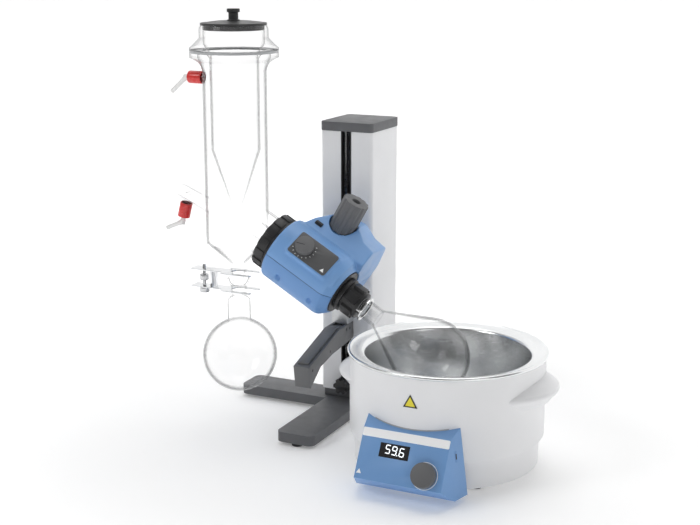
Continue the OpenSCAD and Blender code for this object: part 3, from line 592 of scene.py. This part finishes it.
def deliver(thing: bpy.types.Object, name: str, body: str, finish: Finish,
            matrix: Matrix | None, *nodes: str, angle: float = 35) -> bpy.types.Object:
    """Places a modelled piece in metres, dresses it and lets it ride on its body.

    Args:
        thing: The piece, in millimetres, or in metres where there is no matrix.
        name: Its name.
        body: The body that carries it.
        finish: Its finish.
        matrix: From its own frame to the model's, or None where it is in place.
        nodes: The solids that it stands for.
        angle: Edges under this angle in degrees are shaded smooth.

    Returns:
        The piece.
    """
    if matrix is not None:
        thing.matrix_world = matrix @ Matrix.Scale(MM, 4) @ thing.matrix_world
    settle(thing)
    thing.name = thing.data.name = name
    bpy.ops.object.shade_smooth_by_angle(angle=math.radians(angle))
    wear(thing, finish)
    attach(thing, body)
    if nodes:
        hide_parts(*nodes)
    LOG.info("%s on %s: %d faces", name, body, len(thing.data.polygons))
    return thing


# ---- The frames that the sub-assemblies are modelled in ----


@dataclass
class Bench:
    """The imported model, and the frames of its sub-assemblies in it."""

    frame: dict
    tilt: float = 30.0
    axis_front: float = 145.0
    pivot_height: float = 304.3
    condenser_left: float = 138.0
    panel_lean: float = 47.9
    panel_place: Point3 = (8, 0, 60.2)
    face_lean: float = 28.8
    face_place: Point3 = (0, -206, 34)

    def __post_init__(self) -> None:
        """Finds the column's middle and front, from which all else is measured."""
        low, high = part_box("lift_column")
        self.origin = Vector(((low.x + high.x) / 2, low.y, 0.0))
        tub_low, tub_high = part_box("bath_vessel")
        self.tub = (tub_low + tub_high) / 2
        self.body_of = {
            node: body
            for body, members in self.frame["record"]["behaviour"]["bodies"].items()
            for node in members
        }

    def stand(self) -> Matrix:
        """Frame with the column's middle at x = 0 and its front at y = 0."""
        return Matrix.Translation(self.origin)

    def head(self) -> Matrix:
        """Frame of the drive head: x along the drive axis, z up from it."""
        return (self.stand()
                @ Matrix.Translation(Vector((0, -self.axis_front, self.pivot_height)) * MM)
                @ Matrix.Rotation(math.radians(self.tilt), 4, "Y"))

    def drive(self, start: float = 0.0) -> Matrix:
        """Frame with z along the drive axis, from a place on it."""
        return self.head() @ Matrix.Translation((start * MM, 0, 0)) @ Matrix.Rotation(
            math.pi / 2, 4, "Y")

    def panel(self) -> Matrix:
        """Frame of the head's panel, with z out of it."""
        return (self.head() @ Matrix.Rotation(math.radians(90 - self.panel_lean), 4, "X")
                @ Matrix.Translation(Vector(self.panel_place) * MM))

    def condenser(self) -> Matrix:
        """Frame of the condenser, with z up its axis from the bench."""
        return self.stand() @ Matrix.Translation(
            Vector((-self.condenser_left, -self.axis_front, 0)) * MM)

    def bath(self) -> Matrix:
        """Frame of the bath, with z up its axis from the bench."""
        return Matrix.Translation((self.tub.x, self.tub.y, 0))

    def face(self) -> Matrix:
        """Frame of the bath's panel: y up its slope, z out of it."""
        return (self.bath() @ Matrix.Translation(Vector(self.face_place) * MM)
                @ Matrix.Rotation(math.radians(90 - self.face_lean), 4, "X"))

    def keep(self, finish: Finish, *nodes: str) -> None:
        """Dresses solids whose form is already right.

        Args:
            finish: Their finish.
            nodes: Their names.
        """
        for node in nodes:
            wear(self.frame["nodes"][node], finish)
            LOG.info("%s kept on %s", node, self.body_of[node])

    def eased(self, finish: Finish, width: float, *nodes: str, rounds: int = 3,
              over: float = 35) -> None:
        """Models a solid again with its edges eased.

        Args:
            finish: Their finish.
            width: Width of the rounding in millimetres.
            nodes: The solids' names.
            rounds: Number of facets over the rounding.
            over: Edges sharper than this, in degrees, are rounded.
        """
        for node in nodes:
            source = self.frame["nodes"][node]
            piece = bpy.data.objects.new(node + "_eased", source.data.copy())
            bpy.context.scene.collection.objects.link(piece)
            only(piece)
            bpy.ops.mesh.customdata_custom_splitnormals_clear()
            edit(piece)
            bpy.ops.mesh.remove_doubles(threshold=0.000004)
            bpy.ops.mesh.dissolve_limited(angle_limit=math.radians(0.6))
            close_edit()
            soften(piece, width * MM, rounds, over)
            deliver(piece, node + "_eased", self.body_of[node], finish, None, node)


# ---- Stand ----


@dataclass
class Stand:
    """Base, column, guide rods and end stop."""

    bench: Bench

    def dress(self) -> None:
        """Dresses the stand's pieces."""
        b = self.bench
        b.eased(BASE_GREY, 2.2, "base_frame")
        b.eased(POWDER_WHITE, 1.0, "lift_column")
        b.eased(BASE_GREY, 1.2, "column_plinth", "column_cap")
        b.eased(RUBBER_BLACK, 1.0, "base_feet")
        b.eased(BLACK_PLASTIC, 0.5, "slot_seals", "power_inlet", rounds=2)
        b.eased(BLACK_PLASTIC, 0.8, "end_stop_block", "end_stop_knob", rounds=2)
        b.keep(STEEL, "guide_rods")
        b.keep(KNOB_GREY, "gas_spring_cylinder")


@dataclass
class Carriage:
    """The part that runs in the column, with its handle and release lever."""

    bench: Bench
    pin_radius: float = 2.6
    pin_face: float = 15.15
    pin_depth: float = 2.0
    pins: tuple[Point2, ...] = ((-162, 127), (-94, 142), (-15, 164))

    def dress(self) -> None:
        """Dresses the carriage's pieces."""
        b = self.bench
        b.eased(ALUMINIUM, 0.6, "carriage_block")
        b.keep(BRONZE, "guide_bushes")
        b.keep(CHROME, "gas_spring_rod", "tilt_shaft")
        b.eased(STEEL, 0.4, "handle_screws", rounds=2)
        b.eased(HANDLE_GREY, 3.2, "handle_body")
        self.pin_hole_shade()
        b.eased(HANDLE_GREY, 1.6, "release_lever")


    def pin_hole_shade(self) -> None:
        """Lays black discs at both faces of the handle where its three pin holes are: painted
        shade for the holes.
        """
        pins = []
        for y, z in self.pins:
            for low in (-self.pin_face, self.pin_face - self.pin_depth):
                pin = soften(rod(self.pin_radius, low, low + self.pin_depth, sides=24), 0.4, 2)
                pins.append(shift(pin, Matrix.Translation((0, y, z)) @ Matrix.Rotation(
                    math.pi / 2, 4, "Y")))
        deliver(together(*pins), "handle_pin_hole_shade", self.bench.body_of["handle_body"],
                BLACK_PLASTIC, self.bench.stand())


# ---- Drive head ----


@dataclass
class DriveHead:
    """Casing, panel and knobs of the drive."""

    bench: Bench
    barrel: float = 57.0
    half: float = 60.0
    nose: float = 42.0
    nose_end: float = 73.6
    wall: float = 2.6
    voxel: float = 1.5
    half_joint: float = 0.45
    clamp_back: float = 57.0
    drops: tuple[float, float] = (-23, 44)
    drop_turn: float = 208.0
    knob_along: float = -18.0
    ticks: int = 10

    def dress(self) -> None:
        """Dresses the head's pieces."""
        b = self.bench
        self.casing()
        b.keep(STEEL, "housing_screws", "shaft_bearings")
        b.keep(ALUMINIUM, "motor_pulley", "driven_pulley")
        self.motor()
        b.keep(RUBBER_BLACK, "drive_belt")
        b.keep(BOARD_GREEN, "control_board")
        b.keep(CHROME, "hollow_shaft")
        b.eased(ALUMINIUM, 0.8, "tilt_hub")
        b.eased(PANEL_BLACK, 0.5, "panel_plate", rounds=2)
        b.eased(BLACK_PLASTIC, 0.8, "front_flange", "rear_collar")
        b.eased(KNOB_GREY, 1.0, "speed_knob", "tilt_clamp_knob")
        b.eased(BLACK_PLASTIC, 0.8, "lock_button")
        b.eased(BLACK_PLASTIC, 0.9, "union_nut", "flask_hub", rounds=2)
        self.panel_marks()

    def casing(self) -> None:
        """Models the casing as one flowing form, then parts it at the drive axis."""
        barrel = turned([(0, -self.half), (self.barrel - 3, -self.half),
                         (self.barrel, -self.half + 3), (self.barrel, self.half - 6),
                         (self.barrel - 2, self.half), (self.nose, self.nose_end),
                         (0, self.nose_end)])
        brow = turned([(self.nose + 2, 60), (self.nose + 11, 60), (self.nose + 11, 64.5),
                       (self.nose + 9, 67), (self.nose + 2, 70)])
        edit(brow)
        bpy.ops.mesh.bisect(plane_co=(-18, 0, 0), plane_no=(1, 0, 0), use_fill=True,
                            clear_outer=True)
        bpy.ops.mesh.select_all(action="SELECT")
        bpy.ops.mesh.bisect(plane_co=(0, 8, 0), plane_no=(0, 1, 0), use_fill=True,
                            clear_outer=True)
        close_edit()
        along = Matrix.Rotation(math.pi / 2, 4, "Y")
        across = Matrix.Rotation(math.pi / 2, 4, "X")
        shift(barrel, along)
        shift(brow, along)
        hump = self._hump()
        slope = block((-200, -40, 0), (200, 200, 200))
        shift(slope, Matrix.Translation((0, 20, self.barrel))
              @ Matrix.Rotation(math.radians(36), 4, "X"))
        carve(hump, slope)
        pad = slab(rounded_box(83.4, 50.1, 6), -14, -1.2)
        shift(pad, Matrix.Rotation(math.radians(90 - self.bench.panel_lean), 4, "X")
              @ Matrix.Translation(self.bench.panel_place))
        seat = shift(rod(27, 44, 61, sides=64), Matrix.Translation((0, self.clamp_back, 0)))
        form = self._flow(together(barrel, brow, hump, pad, seat), 3)
        carve(
            form,
            shift(rod(25, 0, 60, sides=64), Matrix.Translation((0, self.clamp_back, 64))),
            shift(rod(33, -80, 90, sides=96), along),
            shift(rod(39.8, 68, 90, sides=96), along),
            shift(rod(16, 0, 30), Matrix.Translation((0, 130, 0)) @ across),
            *(self._dimple(place) for place in self.drops),
        )
        form = self._flow(form, 12)
        self._seam(form)
        for upper in (True, False):
            self._half(form, upper)
        bpy.data.objects.remove(form)

    @staticmethod
    def _hump() -> bpy.types.Object:
        """Raises the gearbox's outline backwards, drawn in and lowered at its back."""
        front = [(-45, -45), (66, -45), (78, -26), (78, 44), (76, 76), (52, 80), (31, 92),
                 (-25, 85), (-44, 67), (-59, 39), (-59, -30)]
        rear = [(-45, -45), (58, -45), (70, -18), (74, 26), (71, 62), (45, 65), (19, 77),
                (-28, 70), (-42, 56), (-52, 36), (-52, -30)]
        hump = slab(front, -115, -15)
        for corner in hump.data.vertices:
            if corner.co.z < -100:
                near = min(range(len(front)),
                           key=lambda i: math.dist(front[i], corner.co.xy))
                corner.co.xy = rear[near]
        return shift(hump, Matrix.Rotation(math.pi / 2, 4, "X"))

    def _dimple(self, place: float) -> bpy.types.Object:
        """Shapes the drop that is pressed into the lower half over a screw.

        Args:
            place: Where it is along the drive axis.

        Returns:
            The drop, ready to be cut out.
        """
        bpy.ops.mesh.primitive_uv_sphere_add(segments=32, ring_count=16, radius=1)
        drop = bpy.context.object
        drop.scale = (5.0, 6.4, 8.4)
        settle(drop)
        return shift(drop, Matrix.Rotation(math.radians(self.drop_turn), 4, "X")
                     @ Matrix.Translation((place, self.barrel + 0.6, 0)))

    def _seam(self, form: bpy.types.Object) -> None:
        """Lays the dark joint between the halves, a little inside the skin."""
        only(form)
        bpy.ops.object.duplicate(linked=False)
        seam = bpy.context.object
        for height, keep_above in ((-0.5, True), (0.5, False)):
            edit(seam)
            bpy.ops.mesh.bisect(plane_co=(0, 0, height), plane_no=(0, 0, 1), use_fill=True,
                                clear_inner=keep_above, clear_outer=not keep_above)
            close_edit()
        shift(seam, Matrix.Diagonal((0.985, 0.99, 1.0, 1.0)))
        deliver(seam, "casing_joint", "head", BLACK_PLASTIC, self.bench.head())

    def motor(self) -> None:
        """Models the motor, short enough for the rounded back of the casing."""
        can = carve(soften(rod(17.6, 30, 64, sides=64), 2.0), rod(6.5, 26.5, 30.5),
                    how="UNION")
        carve(can, rod(3.2, 20, 42, sides=32))
        shift(can, Matrix.Translation((0, 90, 48)) @ Matrix.Rotation(math.pi / 2, 4, "Y"))
        deliver(can, "motor_can", self.bench.body_of["drive_motor"], KNOB_GREY,
                self.bench.head(), "drive_motor")

    def _flow(self, form: bpy.types.Object, rounds: int) -> bpy.types.Object:
        """Melts overlapping forms into one skin and smooths it.

        Args:
            form: The overlapping forms.
            rounds: How many times it is smoothed.

        Returns:
            The skin.
        """
        only(form)
        form.data.remesh_voxel_size = self.voxel
        bpy.ops.object.voxel_remesh()
        return fitted(form, "SMOOTH", factor=0.5, iterations=rounds)

    def _half(self, form: bpy.types.Object, upper: bool) -> None:
        """Makes one half of the casing as a shell with its openings.

        Args:
            form: The whole form.
            upper: The upper half, or the lower one.
        """
        only(form)
        bpy.ops.object.duplicate(linked=False)
        shell = bpy.context.object
        edit(shell)
        joint = self.half_joint if upper else -self.half_joint
        bpy.ops.mesh.bisect(plane_co=(0, 0, joint), plane_no=(0, 0, 1),
                            clear_inner=upper, clear_outer=not upper)
        close_edit()
        fitted(shell, "SOLIDIFY", thickness=self.wall, offset=-1.0, use_even_offset=True)
        name = "casing_upper" if upper else "casing_lower"
        # The lower half wears the darker blue: painted shade on the underside.
        deliver(shell, name, "head", SKY_BLUE if upper else SHADED_BLUE, self.bench.head(),
                "housing_upper" if upper else "housing_lower", angle=50)

    def panel_marks(self) -> None:
        """Prints the speed scale and a plain triangle on the panel, and lays the knob's
        pointer.
        """
        tick = block((18.6, -0.4, -0.05), (20.8, 0.4, 0.12))
        shift(tick, Matrix.Rotation(math.radians(215), 4, "Z"))
        scale = ring_of(tick, self.ticks, 200)
        shift(scale, Matrix.Translation((self.knob_along, 0, 0)))
        sign = slab([(27, -17.5), (34.6, -17.5), (30.8, -11)], -0.05, 0.12)
        # The white print glows faintly: painted light.
        deliver(together(scale, sign), "panel_marks", "head", PRINT_WHITE_GLOWING,
                self.bench.panel())
        pointer = block((0, -0.5, 10.2), (14.4, 0.5, 10.55))
        shift(pointer, Matrix.Translation((self.knob_along, 0, 0))
              @ Matrix.Rotation(math.radians(205), 4, "Z"))
        deliver(pointer, "speed_pointer", "speed_dial", BLACK_PLASTIC, self.bench.panel())


@dataclass
class Spindle:
    """The turning parts: clip, duct and evaporating flask; the hub is dressed with the head.
    """

    bench: Bench

    def dress(self) -> None:
        """Dresses the spindle's pieces."""
        b = self.bench
        b.keep(CHROME, "flask_clip")
        b.keep(GLASS, "vapor_duct", "evaporating_flask")


# ---- Condenser ----


@dataclass
class Condenser:
    """Glass condenser, its fittings and the receiving flask."""

    bench: Bench

    def dress(self) -> None:
        """Dresses the condenser's pieces."""
        b = self.bench
        b.keep(GLASS, "condenser_jacket", "cold_finger", "receiving_flask", "stopcock_key")
        b.keep(PTFE_WHITE, "condenser_seal")
        b.keep(SEAL_GREY, "flange_seal")
        b.eased(BLACK_PLASTIC, 0.8, "condenser_lid")
        b.eased(CAP_RED, 0.7, "hose_caps")
        b.eased(PTFE_WHITE, 0.4, "hose_nozzles")
        b.eased(CHROME, 0.5, "joint_clamp", rounds=2)
        b.eased(STEEL, 0.4, "clamp_screw", rounds=2)


# ---- Heating bath ----


class Segment(Enum):
    """The seven bars of a figure, as (middle x, middle y, upright)."""

    TOP = (0.0, 1.0, False)
    MIDDLE = (0.0, 0.0, False)
    BOTTOM = (0.0, -1.0, False)
    TOP_LEFT = (-0.5, 0.5, True)
    TOP_RIGHT = (0.5, 0.5, True)
    LOW_LEFT = (-0.5, -0.5, True)
    LOW_RIGHT = (0.5, -0.5, True)


FIVE = (Segment.TOP, Segment.MIDDLE, Segment.BOTTOM, Segment.TOP_LEFT, Segment.LOW_RIGHT)
SIX = FIVE + (Segment.LOW_LEFT,)
NINE = FIVE + (Segment.TOP_RIGHT,)


@dataclass
class Bath:
    """Heating bath with its vessel, shell and dial panel."""

    bench: Bench
    rim_radius: float = 164.0
    rim_height: float = 196.5
    wall_radius: float = 135.0
    floor: float = 80.0
    figure_height: float = 6.2
    figure_width: float = 7.0
    figure_bar: float = 1.5
    shell_radius: float = 160.0
    shell_wall: float = 3.0
    grip_offset: float = 88.0
    slot_place: Point3 = (77.8, -159.0, 76.8)
    slot_out: Point3 = (0.9654, -0.2284, 0.1256)
    sign_place: Point3 = (1.8, -160.2, 154.5)
    knob_place: Point3 = (41.7, 21, 0)

    def dress(self) -> None:
        """Dresses the bath's pieces."""
        b = self.bench
        self.shell()
        b.eased(SHELL_WHITE, 1.2, "bath_base")
        self.vessel()
        b.keep(ALUMINIUM, "heating_plate")
        b.eased(SKY_BLUE, 2.2, "panel_housing")
        self.housing_lip()
        self.cheek_slot_shade()
        b.keep(BLACK_GLOSS, "display_window")
        b.eased(RUBBER_BLACK, 1.0, "bath_feet")
        b.eased(BLACK_PLASTIC, 0.5, "bath_inlet", rounds=2)
        b.eased(KNOB_GREY, 1.2, "bath_knob")
        self.figures()
        self.panel_prints()
        self.warning_sign()

    def vessel(self) -> None:
        """Turns the steel vessel with its rolled rim."""
        r, top, inner = self.rim_radius, self.rim_height, self.wall_radius
        profile = (
            [(0, self.floor - 2), (inner - 10, self.floor - 2)]
            + arc((inner - 10, self.floor + 10), 12, -90, 0, 6)
            + [(inner + 2, top - 10), (inner + 4, top - 6.6), (r - 6, top - 6.4)]
            + arc((r - 3, top - 3), 3, -110, 135, 12)
            + [(r - 9, top - 2.6), (r - 16, top - 4.2), (inner + 5, top - 5.4),
               (inner + 1.4, top - 7.4), (inner, top - 11)]
            + arc((inner - 10, self.floor + 10), 10, 0, -90, 6)
            + [(0, self.floor)]
        )
        deliver(turned(profile, 160), "steel_vessel", "bath", BATH_STEEL,
                self.bench.bath(), "bath_vessel", angle=50)

    def figures(self) -> None:
        """Lights the slanted figures of the display."""
        w, h, t = self.figure_width, self.figure_height, self.figure_bar
        bars = []
        for x, lit in ((-25.5, FIVE), (-14.5, NINE), (-2.0, SIX)):
            for bar in lit:
                mx, my, upright = bar.value
                cx, cy = x + mx * w, my * h
                a, b = (t / 2, h / 2 - 0.5) if upright else (w / 2 - 0.5, t / 2)
                bars.append(block((cx - a, cy - b, 0), (cx + a, cy + b, 0.12)))
        bars.append(block((-9.4, -h - 0.8, 0), (-7.8, -h + 0.8, 0.12)))
        figures = together(*bars)
        lean = Matrix.Identity(4)
        lean[0][1] = 0.16
        shift(figures, Matrix.Translation((0, 49.5, 0.1)) @ lean)
        deliver(figures, "display_figures", "bath", LAMP_WHITE, self.bench.face())

    def shell(self) -> None:
        """Turns the white shell and its two grips."""
        low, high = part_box("bath_shell")
        foot, top, r, wall = low.z / MM, high.z / MM, self.shell_radius, self.shell_wall
        body = turned([(20, foot), (r - 2, foot), (r - 0.6, foot + 0.6), (r, foot + 2),
                       (r, top), (r - wall, top), (r - wall, foot + wall),
                       (20, foot + wall)], 160)
        grips = []
        for side in (-1, 1):
            grip = turned(
                [(60, 122), (74, 123.5), (85, 129)] + arc((91, 147), 7, -75, 75, 8)
                + [(86, 159), (76, 165), (60, 167)], 96)
            edit(grip)
            bpy.ops.mesh.bisect(plane_co=(side * 40, 0, 0), plane_no=(side, 0, 0),
                                use_fill=True, clear_inner=True)
            close_edit()
            grips.append(shift(grip, Matrix.Translation((side * self.grip_offset, 0, 0))))
        deliver(together(body, *grips), "white_shell", "bath", SHELL_WHITE,
                self.bench.bath(), "bath_shell", angle=40)

    def housing_lip(self) -> None:
        """Lays the thin grey lip that frames the panel housing on the shell."""
        source = self.bench.frame["nodes"]["panel_housing"]
        grown = bpy.data.objects.new("lip", source.data.copy())
        bpy.context.scene.collection.objects.link(grown)
        tidy_mesh(grown, 0.000004)
        low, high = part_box("panel_housing")
        middle = Vector(((low.x + high.x) / 2, (low.y + high.y) / 2, low.z))
        shift(grown, Matrix.Translation(middle) @ Matrix.Diagonal((1.022, 1.0, 1.018, 1.0))
              @ Matrix.Translation(-middle))
        ring = turned([(159.5, 20), (160.5, 20), (160.5, 130), (159.5, 130)], 160)
        shift(ring, self.bench.bath() @ Matrix.Scale(MM, 4))
        carve(ring, grown, how="INTERSECT")
        deliver(ring, "housing_lip", "bath", SEAL_GREY, None)

    def cheek_slot_shade(self) -> None:
        """Lays a darker blue patch, partly sunk into the housing's right cheek, as painted
        shade for a slot; a black catch sits in it.
        """
        slot = slab(rounded_box(5.4, 19, 2.4), -0.6, 0.25)
        pin = slab(rounded_box(2.2, 9, 1.0), -0.2, 0.7)
        turn = Vector(self.slot_out).to_track_quat("Z", "Y").to_matrix().to_4x4()
        matrix = self.bench.bath() @ Matrix.Translation(Vector(self.slot_place) * MM) @ turn
        deliver(slot, "cheek_slot_shade", "bath", SHADED_BLUE, matrix)
        deliver(pin, "cheek_catch", "bath", BLACK_PLASTIC, matrix)

    def panel_prints(self) -> None:
        """Prints the blank strip, the knob's ring and a plain triangle."""
        face = self.bench.face()
        strip = slab(rounded_box(144, 13.4, 2), 0, 0.15)
        shift(strip, Matrix.Translation((0, 73.4, 0)))
        sign = slab([(-70, 8), (-61.6, 8), (-65.8, 15.2)], 0, 0.15)
        # These prints and the ring below glow faintly: painted light.
        deliver(together(strip, sign), "face_prints", "bath", PRINT_WHITE_GLOWING, face)
        ring = turned([(20.4, 0), (21.3, 0), (21.3, 0.3), (20.4, 0.3)], 64)
        shift(ring, Matrix.Translation(self.knob_place))
        deliver(ring, "knob_ring", "bath", PRINT_WHITE_GLOWING, face)

    def warning_sign(self) -> None:
        """Sticks a plain yellow triangle on the shell."""
        out = self.bench.bath() @ Matrix.Translation(
            Vector(self.sign_place) * MM) @ Matrix.Rotation(math.pi / 2, 4, "X")
        for name, grow, lift, finish in (("sign_back", 0.0, 0.0, BLACK_PLASTIC),
                                         ("sign_field", 2.0, 0.25, SIGN_YELLOW)):
            plate = slab([(0, 10.7 - 2 * grow), (-11.9 + 1.75 * grow, -10.4 + grow),
                          (11.9 - 1.75 * grow, -10.4 + grow)], lift - 0.3, lift + 0.3)
            deliver(plate, name, "bath", finish, out)


# ---- Studio ----


@dataclass
class Studio:
    """Pale floor, soft lights and the camera."""

    bench: Bench
    lens: float = 66.64
    sensor: float = 36.0
    camera_place: Point3 = (0.9845, -2.040, 0.820)
    camera_down: float = 13.39
    camera_aside: float = 25.58
    far_side: Point3 = (-0.4, 0.86, 0.3)
    dark: float = 0.22
    bright: float = 1.05

    def build(self) -> None:
        """Sets up the whole studio."""
        self.sweep()
        self.sky()
        self.lamp("key", (-1.7, -2.1, 2.3), 1.2, 19)
        self.lamp("fill", (2.6, -1.6, 1.3), 1.2, 6)
        self.lamp("top", (0.0, 0.3, 2.8), 2.0, 21)
        self.camera()

    def sweep(self) -> None:
        """Lays a pale floor that curves up behind."""
        line = [(-30.0, 0.0), (7.0, 0.0)] + arc((7.0, 3.0), 3.0, -90, 0, 12) + [(10.0, 14.0)]
        bpy.ops.mesh.primitive_plane_add(size=1)
        floor = bpy.context.object
        bpy.ops.object.mode_set(mode="EDIT")
        bpy.ops.mesh.delete(type="VERT")
        close_edit()
        corners = [(x, y, z) for y, z in line for x in (-30.0, 30.0)]
        faces = [(2 * i, 2 * i + 1, 2 * i + 3, 2 * i + 2) for i in range(len(line) - 1)]
        floor.data.from_pydata(corners, [], faces)
        only(floor)
        bpy.ops.object.shade_smooth()
        floor.name = "studio_sweep"
        wear(floor, STUDIO_WHITE)

    def sky(self) -> None:
        """Surrounds the scene with soft white light."""
        world = bpy.data.worlds.new("studio_light")
        world.use_nodes = True
        nodes, links = world.node_tree.nodes, world.node_tree.links
        paint = nodes["Background"]
        paint.inputs["Color"].default_value = (1, 1, 1, 1)
        way = nodes.new("ShaderNodeTexCoord")
        back = nodes.new("ShaderNodeVectorMath")
        back.operation = "DOT_PRODUCT"
        back.inputs[1].default_value = self.far_side
        span = nodes.new("ShaderNodeMapRange")
        span.inputs["From Min"].default_value = 0.25
        span.inputs["From Max"].default_value = 0.75
        span.inputs["To Min"].default_value = self.dark
        span.inputs["To Max"].default_value = self.bright
        links.new(way.outputs["Generated"], back.inputs[0])
        links.new(back.outputs["Value"], span.inputs["Value"])
        links.new(span.outputs["Result"], paint.inputs["Strength"])
        bpy.context.scene.world = world
        bpy.context.scene.view_settings.view_transform = "Standard"

    def lamp(self, name: str, place: Point3, size: float, watts: float) -> None:
        """Hangs one soft light that faces the instrument.

        Args:
            name: Its name.
            place: Where it hangs.
            size: Side of its square.
            watts: Its power.
        """
        data = bpy.data.lights.new(name, "AREA")
        data.size, data.energy = size, watts
        light = bpy.data.objects.new(name, data)
        light.location = place
        light.rotation_euler = (Vector((0, 0, 0.3)) - Vector(place)).to_track_quat(
            "-Z", "Y").to_euler()
        bpy.context.scene.collection.objects.link(light)

    def camera(self) -> None:
        """Stands the camera to the right of the front, a little above the glass."""
        data = bpy.data.cameras.new("camera")
        data.lens, data.sensor_width = self.lens, self.sensor
        camera = bpy.data.objects.new("camera", data)
        camera.location = self.bench.origin + Vector(self.camera_place)
        camera.rotation_euler = (
            math.radians(90 - self.camera_down), 0, math.radians(self.camera_aside))
        bpy.context.scene.collection.objects.link(camera)
        bpy.context.scene.camera = camera


def main() -> None:
    """Builds the studio and every sub-assembly in order."""
    logging.basicConfig(level=logging.INFO, format="%(name)s: %(message)s")
    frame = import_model()
    bench = Bench(frame)
    Studio(bench).build()
    for part in (Stand(bench), Carriage(bench), DriveHead(bench), Spindle(bench),
                 Condenser(bench), Bath(bench)):
        part.dress()


if __name__ == "__main__":
    main()
